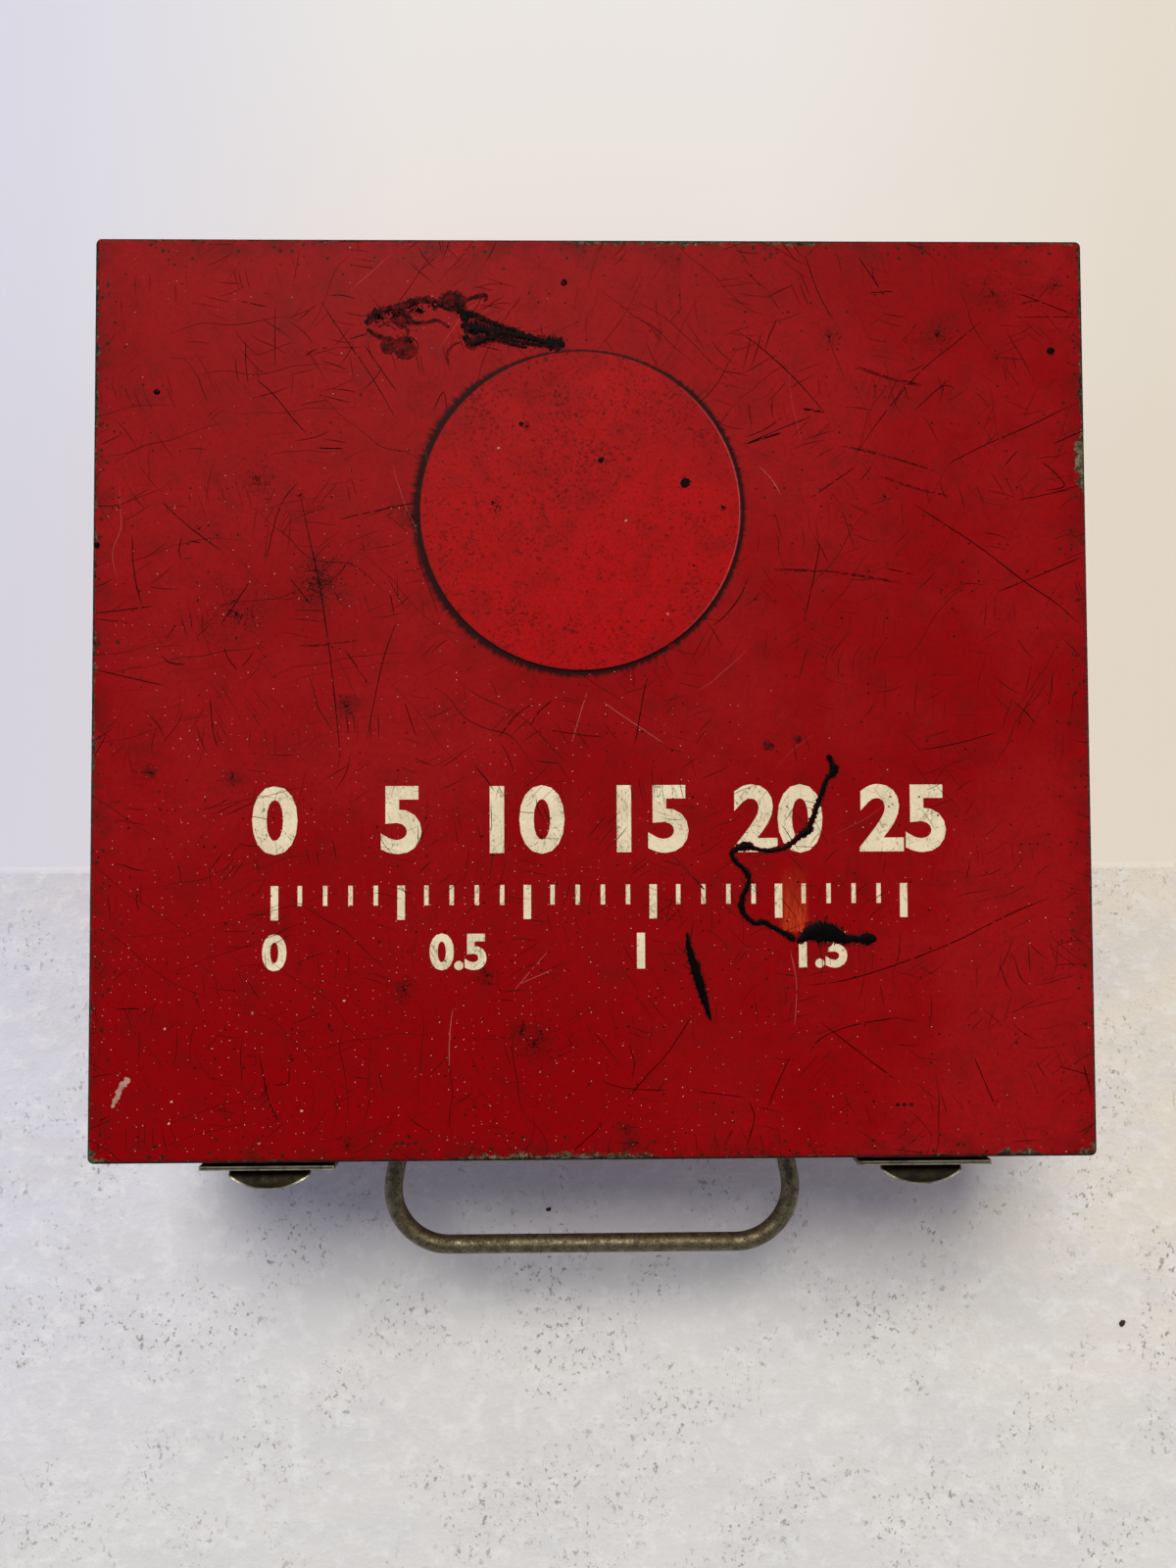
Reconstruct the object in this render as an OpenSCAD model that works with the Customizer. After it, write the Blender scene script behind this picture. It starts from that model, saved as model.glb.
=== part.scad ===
// Cooling-system pressure tester in its folded steel carrying case.
// The case lies on its back: X runs left to right, Y from the latch wall to the hinge wall,
// Z up through the lid. The origin is the middle of the underside.

/* [Case] */
// Outside width of the case, left to right
case_w = 254; // [248:1:290]
// Outside depth of the case, latch wall to hinge wall
case_d = 235; // [231:1:270]
// Height of the base tray
base_h = 66; // [62:1:80]
// Height of the lid
lid_h = 24; // [22:1:36]
// Thickness of the steel sheet
sheet = 1; // [0.8:0.1:1.2]
// Outside radius of the folded edges
fold_r = 1.6; // [1.4:0.1:2.5]
// Gap between the two rims when the case is shut
rim_gap = 0.4; // [0.3:0.1:0.8]
// How far the inner rim strip stands up into the lid
strip_rise = 4; // [3:0.5:8]
// Clearance between the rim strip and the lid skirt
strip_clear = 0.4; // [0.3:0.1:0.8]

/* [Lid disc] */
// Radius of the plain round disc on the lid
disc_r = 41; // [30:0.5:45]
// Thickness of the disc
disc_t = 0.4; // [0.3:0.1:1]
// Disc centre, sideways from the middle of the lid
disc_x = -3; // [-10:0.5:10]
// Disc centre, towards the hinge from the middle of the lid
disc_y = 47; // [35:0.5:55]

/* [Lid hinge] */
// Length of one hinge knuckle
knuckle_len = 11.5; // [9:0.5:14]
// Number of knuckles, both leaves together
knuckle_count = 20; // [12:2:20]
// Outside radius of a knuckle
knuckle_r = 2.6; // [2.4:0.1:2.8]
// Radius of the hinge pin
hinge_pin_r = 1.2; // [1:0.1:1.4]
// How far the pin lies inside the outer face of the back wall
pin_inset = 3; // [2.9:0.1:3.2]
// Height of each hinge leaf
leaf_h = 13; // [8:0.5:14]

/* [Latches] */
// Distance of each hasp from the nearer side of the case
latch_inset = 43; // [32:0.5:49]
// How far both latches sit to the right of their even places
latch_shift = 0.5; // [0:0.5:4]
// How much nearer the middle each keeper sits than its hasp
keeper_in = 0.6; // [0:0.1:3]
// Width of the keeper on the lid
keeper_w = 34; // [31:0.5:40]
// Width of the swinging hasp
hasp_w = 20.7; // [18:0.1:22]
// Thickness of the latch plates
latch_t = 1; // [0.8:0.1:1.2]
// Height of the hasp pin above the underside
hasp_pin_z = 46; // [40:0.5:48]
// Radius of the hasp pin
hasp_pin_r = 1.1; // [0.9:0.1:1.3]
// Reach of the finger lip from the front wall
lip_reach = 8.6; // [8.4:0.1:13]

/* [Carrying handle] */
// Outside width of the wire handle
handle_w = 119.6; // [110:0.2:125]
// Reach of the handle from the front wall
handle_reach = 38.7; // [38:0.1:44]
// Radius of the handle wire
wire_r = 2.6; // [2.2:0.1:3]
// Height of the handle pivot above the underside
handle_z = 45; // [42:0.5:48]
// Bend radius of the outer corners
corner_bend = 16; // [12:0.5:18]
// Lean of the handle legs, in degrees
leg_lean = 10; // [4:1:14]

/* [Pump] */
// Outside radius of the pump barrel
barrel_r = 18; // [16:0.5:19]
// Wall of the pump barrel
barrel_t = 1.5; // [1.2:0.1:2]
// Travel of the plunger
pump_stroke = 58; // [40:1:58]
// Radius of the plunger rod
rod_r = 4; // [3.5:0.1:5]
// Length of the cross handle
grip_len = 84; // [70:1:88]
// Radius of the cross handle
grip_r = 11; // [9:0.5:12]

/* [Gauge] */
// Outside radius of the gauge case
gauge_r = 32; // [28:0.5:34]
// Height of the gauge case
gauge_h = 24; // [20:0.5:25]

/* [Hose] */
// Outside radius of the rubber hose
hose_r = 6; // [5:0.1:6.5]
// Radius of the hose bore
hose_bore = 3.2; // [2.5:0.1:3.6]
// Bend radius of the hose round the back corner
hose_corner = 44; // [40:1:46]
// Radius of the hose's return loop
hose_loop = 40; // [36:1:41]
// Radius of the bends where the hose drops to the floor and climbs again
hose_drop = 40; // [36:1:42]

/* [Test head] */
// Outside radius of the test head
head_r = 27; // [25:0.5:28]
// Length of the test head's shell
head_len = 27; // [24:0.5:30]

/* [Cap adapter] */
// Radius of the cap adapter's neck bore
neck_bore = 19; // [17:0.5:20]
// Height of the cap adapter
adapter_h = 39; // [34:0.5:44]

/* [Hidden] */
$fn = 48;

// Hairline between the legs of a bent bar
leg_gap = 0.004;
// Slip fits between pieces that stay put, and running fits between pieces that turn
seat_gap = 0.05;
run_gap = 0.05;
move_gap = 0.4;

// Case levels and faces
front = -case_d / 2;
back = case_d / 2;
lid_z = base_h + rim_gap;
top_z = lid_z + lid_h;
floor_z = sheet;

// Lid hinge: the pin lies between the two rims, just inside the back wall
pin_y = back - pin_inset;
pin_z = base_h + rim_gap / 2;
pin_relief = 4;
side_relief = 4.6;
leaf_relief = 3.4;
knuckle_gap = 0.3;
hinge_len = knuckle_len * knuckle_count;

// Rivets
rivet_r = 1.5;
rivet_head = 3;
rivet_dome = 1.4;
rivet_tail = 0.8;

// Latch places and levels: the keeper's rivets clear the rim strip
latch_x = case_w / 2 - latch_inset;
HASPS = [for (s = [-1, 1]) s * latch_x + latch_shift];
KEEPERS = [for (s = [-1, 1]) s * (latch_x - keeper_in) + latch_shift];
keeper_z0 = base_h + strip_rise - 1;
keeper_z1 = top_z - 3;
keeper_step = 9;
keeper_stand = 1.4;
keeper_inset = 4;
leaf_bottom = hasp_pin_z - 16;
hasp_barrel_r = 2.3;
hasp_pin_u = 3;
hasp_u = keeper_stand + latch_t + move_gap;
hasp_knuckle = 10;
hasp_curl = 4;
lip_z = keeper_z1 - 9.4;
lip_arc = 17.7;

// Handle: each leg leans outward, and its end turns in through a clip
pivot_u = wire_r + 2;
pivot_end_x = 36;
pivot_bend = 6;
leg_turn = 90 - leg_lean;
clip_len = 10;
clip_x = 42;
clip_t = 1.2;
clip_reach = 11;
leg_run = (handle_reach - wire_r - pivot_u - pivot_bend * (1 - cos(leg_turn))
    - corner_bend * (1 + cos(leg_turn))) / sin(leg_turn);
pivot_bend_x = handle_w / 2 - wire_r - pivot_bend * sin(leg_turn) - leg_run * cos(leg_turn)
    - corner_bend * (1 - sin(leg_turn));
bar_run = 2 * (handle_w / 2 - wire_r - corner_bend);

// Pump axis, along X near the latch wall
pump_clip_t = 1.2;
pump_stand = 4;
pump_in = 54.5;
pump_y = front + sheet + pump_in;
pump_z = floor_z + pump_stand + pump_clip_t + barrel_r;
manifold_len = 44;
manifold_r = barrel_r + 2.5;
manifold_in = 18;
manifold_x0 = -case_w / 2 + sheet + manifold_in;
manifold_x1 = manifold_x0 + manifold_len;
socket_depth = 4;
gasket_t = 1;
piston_rest = 2;
piston_x = manifold_x1 + piston_rest;
piston_plate_t = 3;
cup_len = 9;
piston_nut_t = 4;
piston_end = piston_x + piston_nut_t + cup_len + piston_plate_t;
stroke_spare = 1;
barrel_end = piston_end + pump_stroke + stroke_spare;
cap_len = 10;
cap_over = 7;
cap_r = barrel_r + 2.5;
bush_r = 7;
bush_out = 5;
grip_rest = 3;
grip_x = barrel_end + cap_len + bush_out + grip_rest + grip_r;
grip_nut_len = 7;
barrel_bore = barrel_r - barrel_t;
piston_clear = 0.3;
pump_clip_in = 16;
pump_clip_out = 14;
pump_clip_w = 12;
pump_clip_leg = 8;
pump_clip_foot = 10;

// Valve chamber behind the pump, closed by the end plug
chamber_r = 6.5;
valve_wall = 4;
valve_x = manifold_x1 - socket_depth - valve_wall;
valve_r = 5;
valve_t = 2;
plug_depth = 5;
valve_spring_r = 3.8;
valve_gap = 0.02;
port_bore = 3;

// Gauge on top of the manifold
gauge_in = 22;
gauge_x = manifold_x0 + gauge_in;
gauge_boss_r = 11;
gauge_boss_top = pump_z + manifold_r + 2;
stem_gap = 6;
gauge_z = gauge_boss_top + stem_gap;
gauge_wall = 1.5;
bezel_r = gauge_r + 1.5;
bezel_h = 7;
bezel_down = 4;
dial_z = gauge_z + gauge_h - 6;
dial_t = 0.8;
lens_t = 2;
spindle_r = 0.8;
needle_z = dial_z + dial_t + 1.2;

// Relief valve on the latch side of the manifold
relief_in = 26;
relief_x = manifold_x0 + relief_in;
relief_boss_r = 9;
relief_boss_y = pump_y - manifold_r - 4;
relief_body_len = 8;
relief_travel = 2.5;
relief_stem_r = 2.4;

// Hose route: out of the manifold, down to the floor, round the back corner and the return
// loop, then up to the test head. The runs between are what the bends leave over.
hose_clip_t = 1;
hose_clip_fit = 0.1;
hose_clip_foot = 20;
hose_clip_w = 5.5;
hose_z = floor_z + hose_clip_t + hose_clip_fit + hose_r;
port_in = 10;
port_x = manifold_x0 + port_in;
port_boss_r = 9;
port_face_y = pump_y + manifold_r + 5;
hex_flats = 14;
nipple_hex = 4;
nipple_in = 8;
barb_len = 14;
barb_bore = 1.6;
hose_y0 = port_face_y + nipple_hex;
back_run_in = 14.5;
back_run_y = back - sheet - back_run_in;
loop_side = 6;
loop_x = case_w / 2 - sheet - loop_side - hose_r - hose_loop;
ferrule_len = 16;
end_run = 20;
down_turn = acos(1 - (pump_z - hose_z) / (2 * hose_drop));
left_run = back_run_y - hose_corner - hose_y0 - end_run - 2 * hose_drop * sin(down_turn);
back_run = loop_x - port_x - hose_corner;
return_run = 8;
head_y = back_run_y - 2 * hose_loop;
cradle_t = 1.5;
cradle_gap = 0.4;
head_z = floor_z + cradle_t + cradle_gap + head_r;
up_turn = acos(1 - (head_z - hose_z) / (2 * hose_drop));
hose_end_x = loop_x - return_run - 2 * hose_drop * sin(up_turn) - end_run;
HOSE_LEGS = [
    ["run", end_run],
    ["bend", hose_drop, down_turn, 0],
    ["bend", hose_drop, down_turn, 180],
    ["run", left_run],
    ["bend", hose_corner, 90, 90],
    ["run", back_run],
    ["bend", hose_loop, 180, 0],
    ["run", return_run],
    ["bend", hose_drop, up_turn, -90],
    ["bend", hose_drop, up_turn, 180],
    ["run", end_run],
];

// Test head, axis along -X from the end of the hose
head_hex = 6;
head_x = hose_end_x - head_hex - 1;
head_wall = 2;
head_top = 3;
stem_r = 5;
collar_r = 17;
collar_t = 1.6;
seal_gap = 12;
seal_plate_r = 19;
seal_plate_t = 2;
seal_r = 21.5;
seal_t = 4;
ear_in = 3;
ear_t = 2;
flute_count = 18;

// Cap adapter, upright inside the hose's return loop
adapter_in = 24;
adapter_x = loop_x - adapter_in;
adapter_y = back_run_y - hose_loop;
adapter_flange_r = neck_bore + 7;
adapter_neck_r = neck_bore + 2.5;
adapter_flange_t = 3;
adapter_z = floor_z + 1;
adapter_seat = 12;
adapter_top = adapter_z + adapter_h;
adapter_rim = 15;
gasket_h = 2;
cup_wall = 1.2;
cup_rise = 9;

// ---------- shared shapes ----------

// Rectangle with round corners
module round_rect(w, d, r) {
    square([w - 2 * r, d], center = true);
    square([w, d - 2 * r], center = true);
    for (x = [-1, 1], y = [-1, 1])
        translate([x * (w / 2 - r), y * (d / 2 - r)]) circle(r);
}

// Block whose upright edges and lower edges are rounded alike
module folded_block(w, d, h, r) {
    translate([0, 0, r]) linear_extrude(h - r) round_rect(w, d, r);
    translate([-w / 2 + r, -d / 2 + r, 0]) cube([w - 2 * r, d - 2 * r, 2 * r]);
    for (y = [-1, 1])
        translate([0, y * (d / 2 - r), r]) rotate([0, 90, 0])
            cylinder(r = r, h = w - 2 * r, center = true);
    for (x = [-1, 1])
        translate([x * (w / 2 - r), 0, r]) rotate([90, 0, 0])
            cylinder(r = r, h = d - 2 * r, center = true);
    for (x = [-1, 1], y = [-1, 1])
        translate([x * (w / 2 - r), y * (d / 2 - r), r]) sphere(r);
}

// Open pan folded from sheet, mouth upward
module pan(h) {
    difference() {
        folded_block(case_w, case_d, h, fold_r);
        translate([0, 0, sheet])
            folded_block(case_w - 2 * sheet, case_d - 2 * sheet, h, fold_r - sheet);
    }
}

// Rectangular ring between two outlines, standing on z = 0
module wall_ring(w, d, t, h) {
    linear_extrude(h) difference() {
        square([w, d], center = true);
        square([w - 2 * t, d - 2 * t], center = true);
    }
}

// Places a child on the front wall: its X stays X, its Y points up and its Z points outward
module on_front(x, z) {
    translate([x, front, z]) rotate([90, 0, 0]) children();
}

// Extrudes a profile along X. The profile's X is the distance out from the front wall
module front_profile(x, w) {
    translate([x, front, 0]) rotate([90, 0, -90]) linear_extrude(w, center = true) children();
}

// Extrudes a profile along X. The profile's X is Y
module x_profile(x, w) {
    translate([x, 0, 0]) rotate([90, 0, 90]) linear_extrude(w, center = true) children();
}

// Cylinder along X, from x0 to x1
module x_rod(x0, x1, r) {
    translate([x0, 0, 0]) rotate([0, 90, 0]) cylinder(r = r, h = x1 - x0);
}

// Cylinder along Y, from y0 to y1
module y_rod(y0, y1, r) {
    translate([0, y0, 0]) rotate([-90, 0, 0]) cylinder(r = r, h = y1 - y0);
}

// Domed rivet: head above z = 0, tail below the grip
module rivet(grip) {
    translate([0, 0, -grip]) cylinder(r = rivet_r, h = grip);
    translate([0, 0, -grip - rivet_tail]) cylinder(r = rivet_head - 0.6, h = rivet_tail);
    rotate_extrude() intersection() {
        translate([0, -rivet_head * 1.1]) circle(rivet_head * 1.1 + rivet_dome);
        square([rivet_head, rivet_dome]);
    }
}

// Round bar laid leg by leg, heading along Z: a leg is ["run", length] or
// ["bend", radius, degrees, roll], which rolls about the heading and bends towards X.
// The legs stop a hair apart, and a short core inside joins each to the next
module bar(legs, r, i = 0) {
    if (i < len(legs)) {
        leg = legs[i];
        if (leg[0] == "run") {
            translate([0, 0, leg_gap]) cylinder(r = r, h = leg[1] - 2 * leg_gap);
            translate([0, 0, leg[1]]) bar_joint(legs, r, i + 1);
        } else {
            trim = leg_gap / leg[1] * 180 / PI;
            rotate([0, 0, leg[3]]) {
                translate([leg[1], 0, 0]) rotate([90, 0, 180]) rotate([0, 0, trim])
                    rotate_extrude(angle = leg[2] - 2 * trim) translate([leg[1], 0]) circle(r);
                translate([leg[1] * (1 - cos(leg[2])), 0, leg[1] * sin(leg[2])])
                    rotate([0, leg[2], 0]) bar_joint(legs, r, i + 1);
            }
        }
    }
}

module bar_joint(legs, r, i) {
    if (i < len(legs)) {
        translate([0, 0, -0.3]) cylinder(r = r * 0.9, h = 0.6);
        bar(legs, r, i);
    }
}

// Coil spring standing on z = 0: wire of radius w wound at radius r, in rings of six sides.
// The least gap between its turns is measured from ring to ring
module coil(r, w, h, turns, sides = 6, steps = 8) {
    n = turns * steps;
    rise = h - 2 * w;
    middles = [for (i = [0:n]) let (a = 360 * i / steps) [r * cos(a), r * sin(a), w + rise * i / n]];
    gap = min([for (i = [0:n - 1]) for (j = [i + 1:n])
        if (j - i >= steps / 2) norm(middles[i] - middles[j])]) - 2 * w;
    echo(str("coil of radius ", r, ": least gap between turns ", gap, " mm"));
    points = [for (i = [0:n]) let (a = 360 * i / steps, z = w + rise * i / n)
        for (k = [0:sides - 1]) let (b = 360 * k / sides)
            [(r + w * cos(b)) * cos(a), (r + w * cos(b)) * sin(a), z + w * sin(b)]];
    rings = [for (i = [0:n - 1], k = [0:sides - 1])
        let (a = i * sides + k, b = i * sides + (k + 1) % sides)
        each [[a, a + sides, b], [b, a + sides, b + sides]]];
    ends = [for (k = [1:sides - 2]) each [[0, k, k + 1], [n * sides, n * sides + k + 1, n * sides + k]]];
    polyhedron(points, concat(rings, ends), convexity = turns);
}

// Hexagonal prism standing on z = 0, measured across its flats
module hex_prism(flats, h) {
    cylinder(r = flats / sqrt(3), h = h, $fn = 6);
}

// ---------- case ----------

// Cuts that open the back of both pans round the hinge barrel
module hinge_relief() {
    translate([-case_w, pin_y - side_relief, pin_z - pin_relief])
        cube([2 * case_w, case_d, 2 * pin_relief]);
}

// Holes for the rivets in one wall
module rivet_holes(places, depth) {
    for (p = places)
        on_front(p[0], p[1]) translate([0, 0, -depth]) cylinder(r = rivet_r, h = 2 * depth);
}

KEEPER_RIVETS = [for (x = KEEPERS, k = [-1, 1])
    [x + k * (keeper_w / 2 - keeper_inset), keeper_z0 + keeper_step / 2 - 0.5]];
LEAF_RIVETS = [for (x = HASPS, k = [-1, 1])
    [x + k * (keeper_w / 2 - keeper_inset), leaf_bottom + 6]];
CLIP_RIVETS = [for (s = [-1, 1], k = [-1, 1])
    [s * clip_x, handle_z + k * (wire_r + clip_t + clip_reach / 2)]];

module case_base() {
    color("firebrick") difference() {
        pan(base_h);
        hinge_relief();
        rivet_holes(LEAF_RIVETS, 3);
        rivet_holes(CLIP_RIVETS, 3);
    }
}

// Strip welded inside the rim of the base: its upper half steps in to guide the lid
module rim_strip() {
    strip_down = 8;
    strip_back = pin_y - side_relief - 0.6;
    color("firebrick") intersection() {
        union() {
            translate([0, 0, base_h - strip_down])
                wall_ring(case_w - 2 * sheet, case_d - 2 * sheet, sheet, strip_down - 0.5);
            translate([0, 0, base_h - 0.5])
                wall_ring(case_w - 2 * sheet - 2 * strip_clear, case_d - 2 * sheet - 2 * strip_clear,
                    sheet - strip_clear / 2, strip_rise + 0.5);
        }
        // Clear of the corner folds and of the hinge
        translate([-case_w / 2, -case_d / 2, 0]) cube([case_w, strip_back + case_d / 2, top_z]);
        linear_extrude(top_z) union() {
            square([case_w - 2 * fold_r - 2, 2 * case_d], center = true);
            square([2 * case_w, case_d - 2 * fold_r - 2], center = true);
        }
    }
}

module case_lid() {
    color("firebrick") difference() {
        translate([0, 0, top_z]) mirror([0, 0, 1]) pan(lid_h);
        hinge_relief();
        rivet_holes(KEEPER_RIVETS, 3);
    }
}

module lid_disc() {
    color("red") translate([disc_x, disc_y, top_z]) cylinder(r = disc_r, h = disc_t, $fn = 96);
}

// One hinge leaf: side 1 goes up on the lid, side -1 down on the base. It owns every other knuckle
module hinge_leaf(side) {
    first = side > 0 ? 1 : 0;
    difference() {
        union() {
            translate([-hinge_len / 2, back - 2 * sheet, pin_z + (side > 0 ? leaf_relief : -leaf_h)])
                cube([hinge_len, sheet, leaf_h - leaf_relief]);
            for (i = [first:2:knuckle_count - 1]) {
                x0 = -hinge_len / 2 + i * knuckle_len + knuckle_gap / 2;
                translate([x0, back - 2 * sheet, pin_z + (side > 0 ? 0 : -leaf_relief - 0.5)])
                    cube([knuckle_len - knuckle_gap, sheet, leaf_relief + 0.5]);
                translate([0, pin_y, pin_z]) x_rod(x0, x0 + knuckle_len - knuckle_gap, knuckle_r);
            }
        }
        translate([0, pin_y, pin_z]) x_rod(-case_w, case_w, hinge_pin_r + run_gap);
    }
}

module hinge_base_leaf() { color("silver") hinge_leaf(-1); }

module hinge_lid_leaf() { color("silver") hinge_leaf(1); }

module hinge_pin() {
    color("gray") translate([0, pin_y, pin_z])
        x_rod(-hinge_len / 2, hinge_len / 2, hinge_pin_r);
}

// ---------- latches ----------

// Keeper on the lid: flat foot, then a lip that stands off the skirt
module keeper(x) {
    difference() {
        front_profile(x, keeper_w) {
            translate([0, keeper_z0]) square([latch_t, keeper_step]);
            polygon([
                [0, keeper_z0 + keeper_step - 1.4], [latch_t, keeper_z0 + keeper_step - 1.8],
                [keeper_stand + latch_t, keeper_z0 + keeper_step + 1.2],
                [keeper_stand + latch_t, keeper_z1], [keeper_stand, keeper_z1],
                [keeper_stand, keeper_z0 + keeper_step + 1.6]]);
        }
        rivet_holes(KEEPER_RIVETS, 8);
    }
}

module latch_keepers() {
    color("dimgray") for (x = KEEPERS) keeper(x);
}

module keeper_rivets() {
    color("silver") for (p = KEEPER_RIVETS)
        on_front(p[0], p[1]) translate([0, 0, latch_t]) rivet(latch_t + sheet);
}

// Fixed leaf on the base, with a knuckle at each side of the hasp's
module latch_leaf(x) {
    side_w = (hasp_w - hasp_knuckle) / 2 - knuckle_gap;
    difference() {
        union() {
            front_profile(x, keeper_w) translate([0, leaf_bottom])
                square([latch_t, hasp_pin_z - leaf_bottom - hasp_barrel_r - 1]);
            for (s = [-1, 1]) {
                xs = x + s * (hasp_w / 2 - side_w / 2);
                front_profile(xs, side_w) {
                    translate([0, leaf_bottom])
                        square([latch_t, hasp_pin_z - hasp_barrel_r + latch_t - leaf_bottom]);
                    translate([0, hasp_pin_z - hasp_barrel_r]) square([hasp_pin_u, latch_t]);
                    translate([hasp_pin_u, hasp_pin_z]) circle(hasp_barrel_r);
                }
            }
        }
        translate([0, front - hasp_pin_u, hasp_pin_z])
            x_rod(x - keeper_w, x + keeper_w, hasp_pin_r);
        rivet_holes(LEAF_RIVETS, 8);
    }
}

module latch_leaves() {
    color("dimgray") for (x = HASPS) latch_leaf(x);
}

module leaf_rivets() {
    color("silver") for (p = LEAF_RIVETS)
        on_front(p[0], p[1]) translate([0, 0, latch_t]) rivet(latch_t + sheet);
}

module latch_pins() {
    color("gray") for (x = HASPS)
        translate([0, front - hasp_pin_u, hasp_pin_z])
            x_rod(x - hasp_w / 2, x + hasp_w / 2, hasp_pin_r);
}

// Swinging hasp: plate over the keeper, curling out into a half-round finger lip
module hasp(x) {
    difference() {
        union() {
            intersection() {
                front_profile(x, hasp_w) {
                    translate([hasp_u, hasp_pin_z + hasp_barrel_r + move_gap])
                        square([latch_t, lip_z - hasp_pin_z - hasp_barrel_r - move_gap]);
                    translate([hasp_u + latch_t + hasp_curl, lip_z]) difference() {
                        circle(hasp_curl + latch_t);
                        circle(hasp_curl);
                        translate([-2 * hasp_curl, -4 * hasp_curl])
                            square(4 * hasp_curl);
                        translate([0, -hasp_curl * 2]) square(4 * hasp_curl);
                    }
                    translate([hasp_u + latch_t + hasp_curl, lip_z + hasp_curl])
                        square([lip_reach, latch_t]);
                }
                // The lip's edge is an arc across the width
                translate([x, front - lip_reach + lip_arc, 0])
                    cylinder(r = lip_arc, h = top_z, $fn = 96);
            }
            front_profile(x, hasp_knuckle) {
                translate([hasp_u, hasp_pin_z])
                    square([latch_t, hasp_barrel_r + 2 * move_gap]);
                translate([hasp_pin_u, hasp_pin_z]) circle(hasp_barrel_r);
            }
        }
        translate([0, front - hasp_pin_u, hasp_pin_z])
            x_rod(x - keeper_w, x + keeper_w, hasp_pin_r + run_gap);
    }
}

module hasp_left() { color("darkkhaki") hasp(HASPS[0]); }

module hasp_right() { color("darkkhaki") hasp(HASPS[1]); }

// ---------- carrying handle ----------

module handle_wire() {
    end_run_x = pivot_bend_x - pivot_end_x;
    half = [["run", end_run_x], ["bend", pivot_bend, leg_turn, 0], ["run", leg_run],
        ["bend", corner_bend, 90 + leg_lean, 0]];
    other = [["bend", corner_bend, 90 + leg_lean, 0], ["run", leg_run],
        ["bend", pivot_bend, leg_turn, 0], ["run", end_run_x]];
    color("darkkhaki") translate([-pivot_end_x, front - pivot_u, handle_z])
        rotate([90, 0, -90])
            bar(concat(half, [["run", 2 * corner_run()]], other), wire_r);
}

// Half the straight grip, from the middle to where a corner bend starts
function corner_run() = pivot_bend_x + pivot_bend * sin(leg_turn) + leg_run * cos(leg_turn)
    - corner_bend * sin(leg_turn);

// Saddle over one pivot end of the handle
module handle_clip(x) {
    inner = wire_r + 0.2;
    outer = inner + clip_t;
    difference() {
        front_profile(x, clip_len) difference() {
            union() {
                translate([0, handle_z - outer - clip_reach])
                    square([clip_t, 2 * (outer + clip_reach)]);
                translate([0, handle_z - outer]) square([pivot_u, 2 * outer]);
                translate([pivot_u, handle_z]) circle(outer);
            }
            translate([pivot_u, handle_z]) circle(inner);
            translate([-1, handle_z - inner]) square([pivot_u + 1, 2 * inner]);
        }
        rivet_holes(CLIP_RIVETS, 8);
    }
}

module handle_clips() {
    color("dimgray") for (s = [-1, 1]) handle_clip(s * clip_x);
}

module handle_rivets() {
    color("silver") for (p = CLIP_RIVETS)
        on_front(p[0], p[1]) translate([0, 0, clip_t]) rivet(clip_t + sheet);
}

// ---------- pump ----------

// Moves a child to the pump axis
module on_pump() {
    translate([0, pump_y, pump_z]) children();
}

module pump_barrel() {
    color("silver") on_pump() difference() {
        x_rod(manifold_x1 - socket_depth + gasket_t, barrel_end, barrel_r);
        x_rod(manifold_x0, barrel_end + 1, barrel_bore);
    }
}

module barrel_gasket() {
    color("black") on_pump() difference() {
        x_rod(manifold_x1 - socket_depth, manifold_x1 - socket_depth + gasket_t, barrel_r);
        x_rod(manifold_x0, manifold_x1, barrel_bore);
    }
}

// Fluted cap on the open end of the barrel
module pump_end_cap() {
    flutes = 24;
    color("silver") on_pump() difference() {
        x_rod(barrel_end - cap_over, barrel_end + cap_len, cap_r);
        x_rod(barrel_end - cap_over - 1, barrel_end, barrel_r + seat_gap);
        x_rod(barrel_end - 1, barrel_end + cap_len + 1, bush_r);
        for (i = [0:flutes - 1])
            rotate([i * 360 / flutes, 0, 0])
                translate([0, 0, cap_r + 0.6]) x_rod(barrel_end - cap_over + 2, barrel_end + cap_len - 2, 1.4);
    }
}

module rod_bush() {
    color("goldenrod") on_pump() difference() {
        union() {
            x_rod(barrel_end, barrel_end + cap_len + bush_out, bush_r);
            x_rod(barrel_end + cap_len, barrel_end + cap_len + 2, bush_r + 2);
        }
        x_rod(barrel_end - 1, barrel_end + cap_len + bush_out + 1, rod_r + run_gap);
    }
}

module plunger_rod() {
    neck = rod_r - 1;
    color("silver") on_pump() {
        x_rod(piston_x + piston_nut_t + cup_len + piston_plate_t, grip_x - grip_r + 2, rod_r);
        x_rod(piston_x, piston_x + piston_nut_t + cup_len + piston_plate_t, neck);
        x_rod(grip_x - grip_r + 2, grip_x + grip_r + 5, neck);
    }
}

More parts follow.
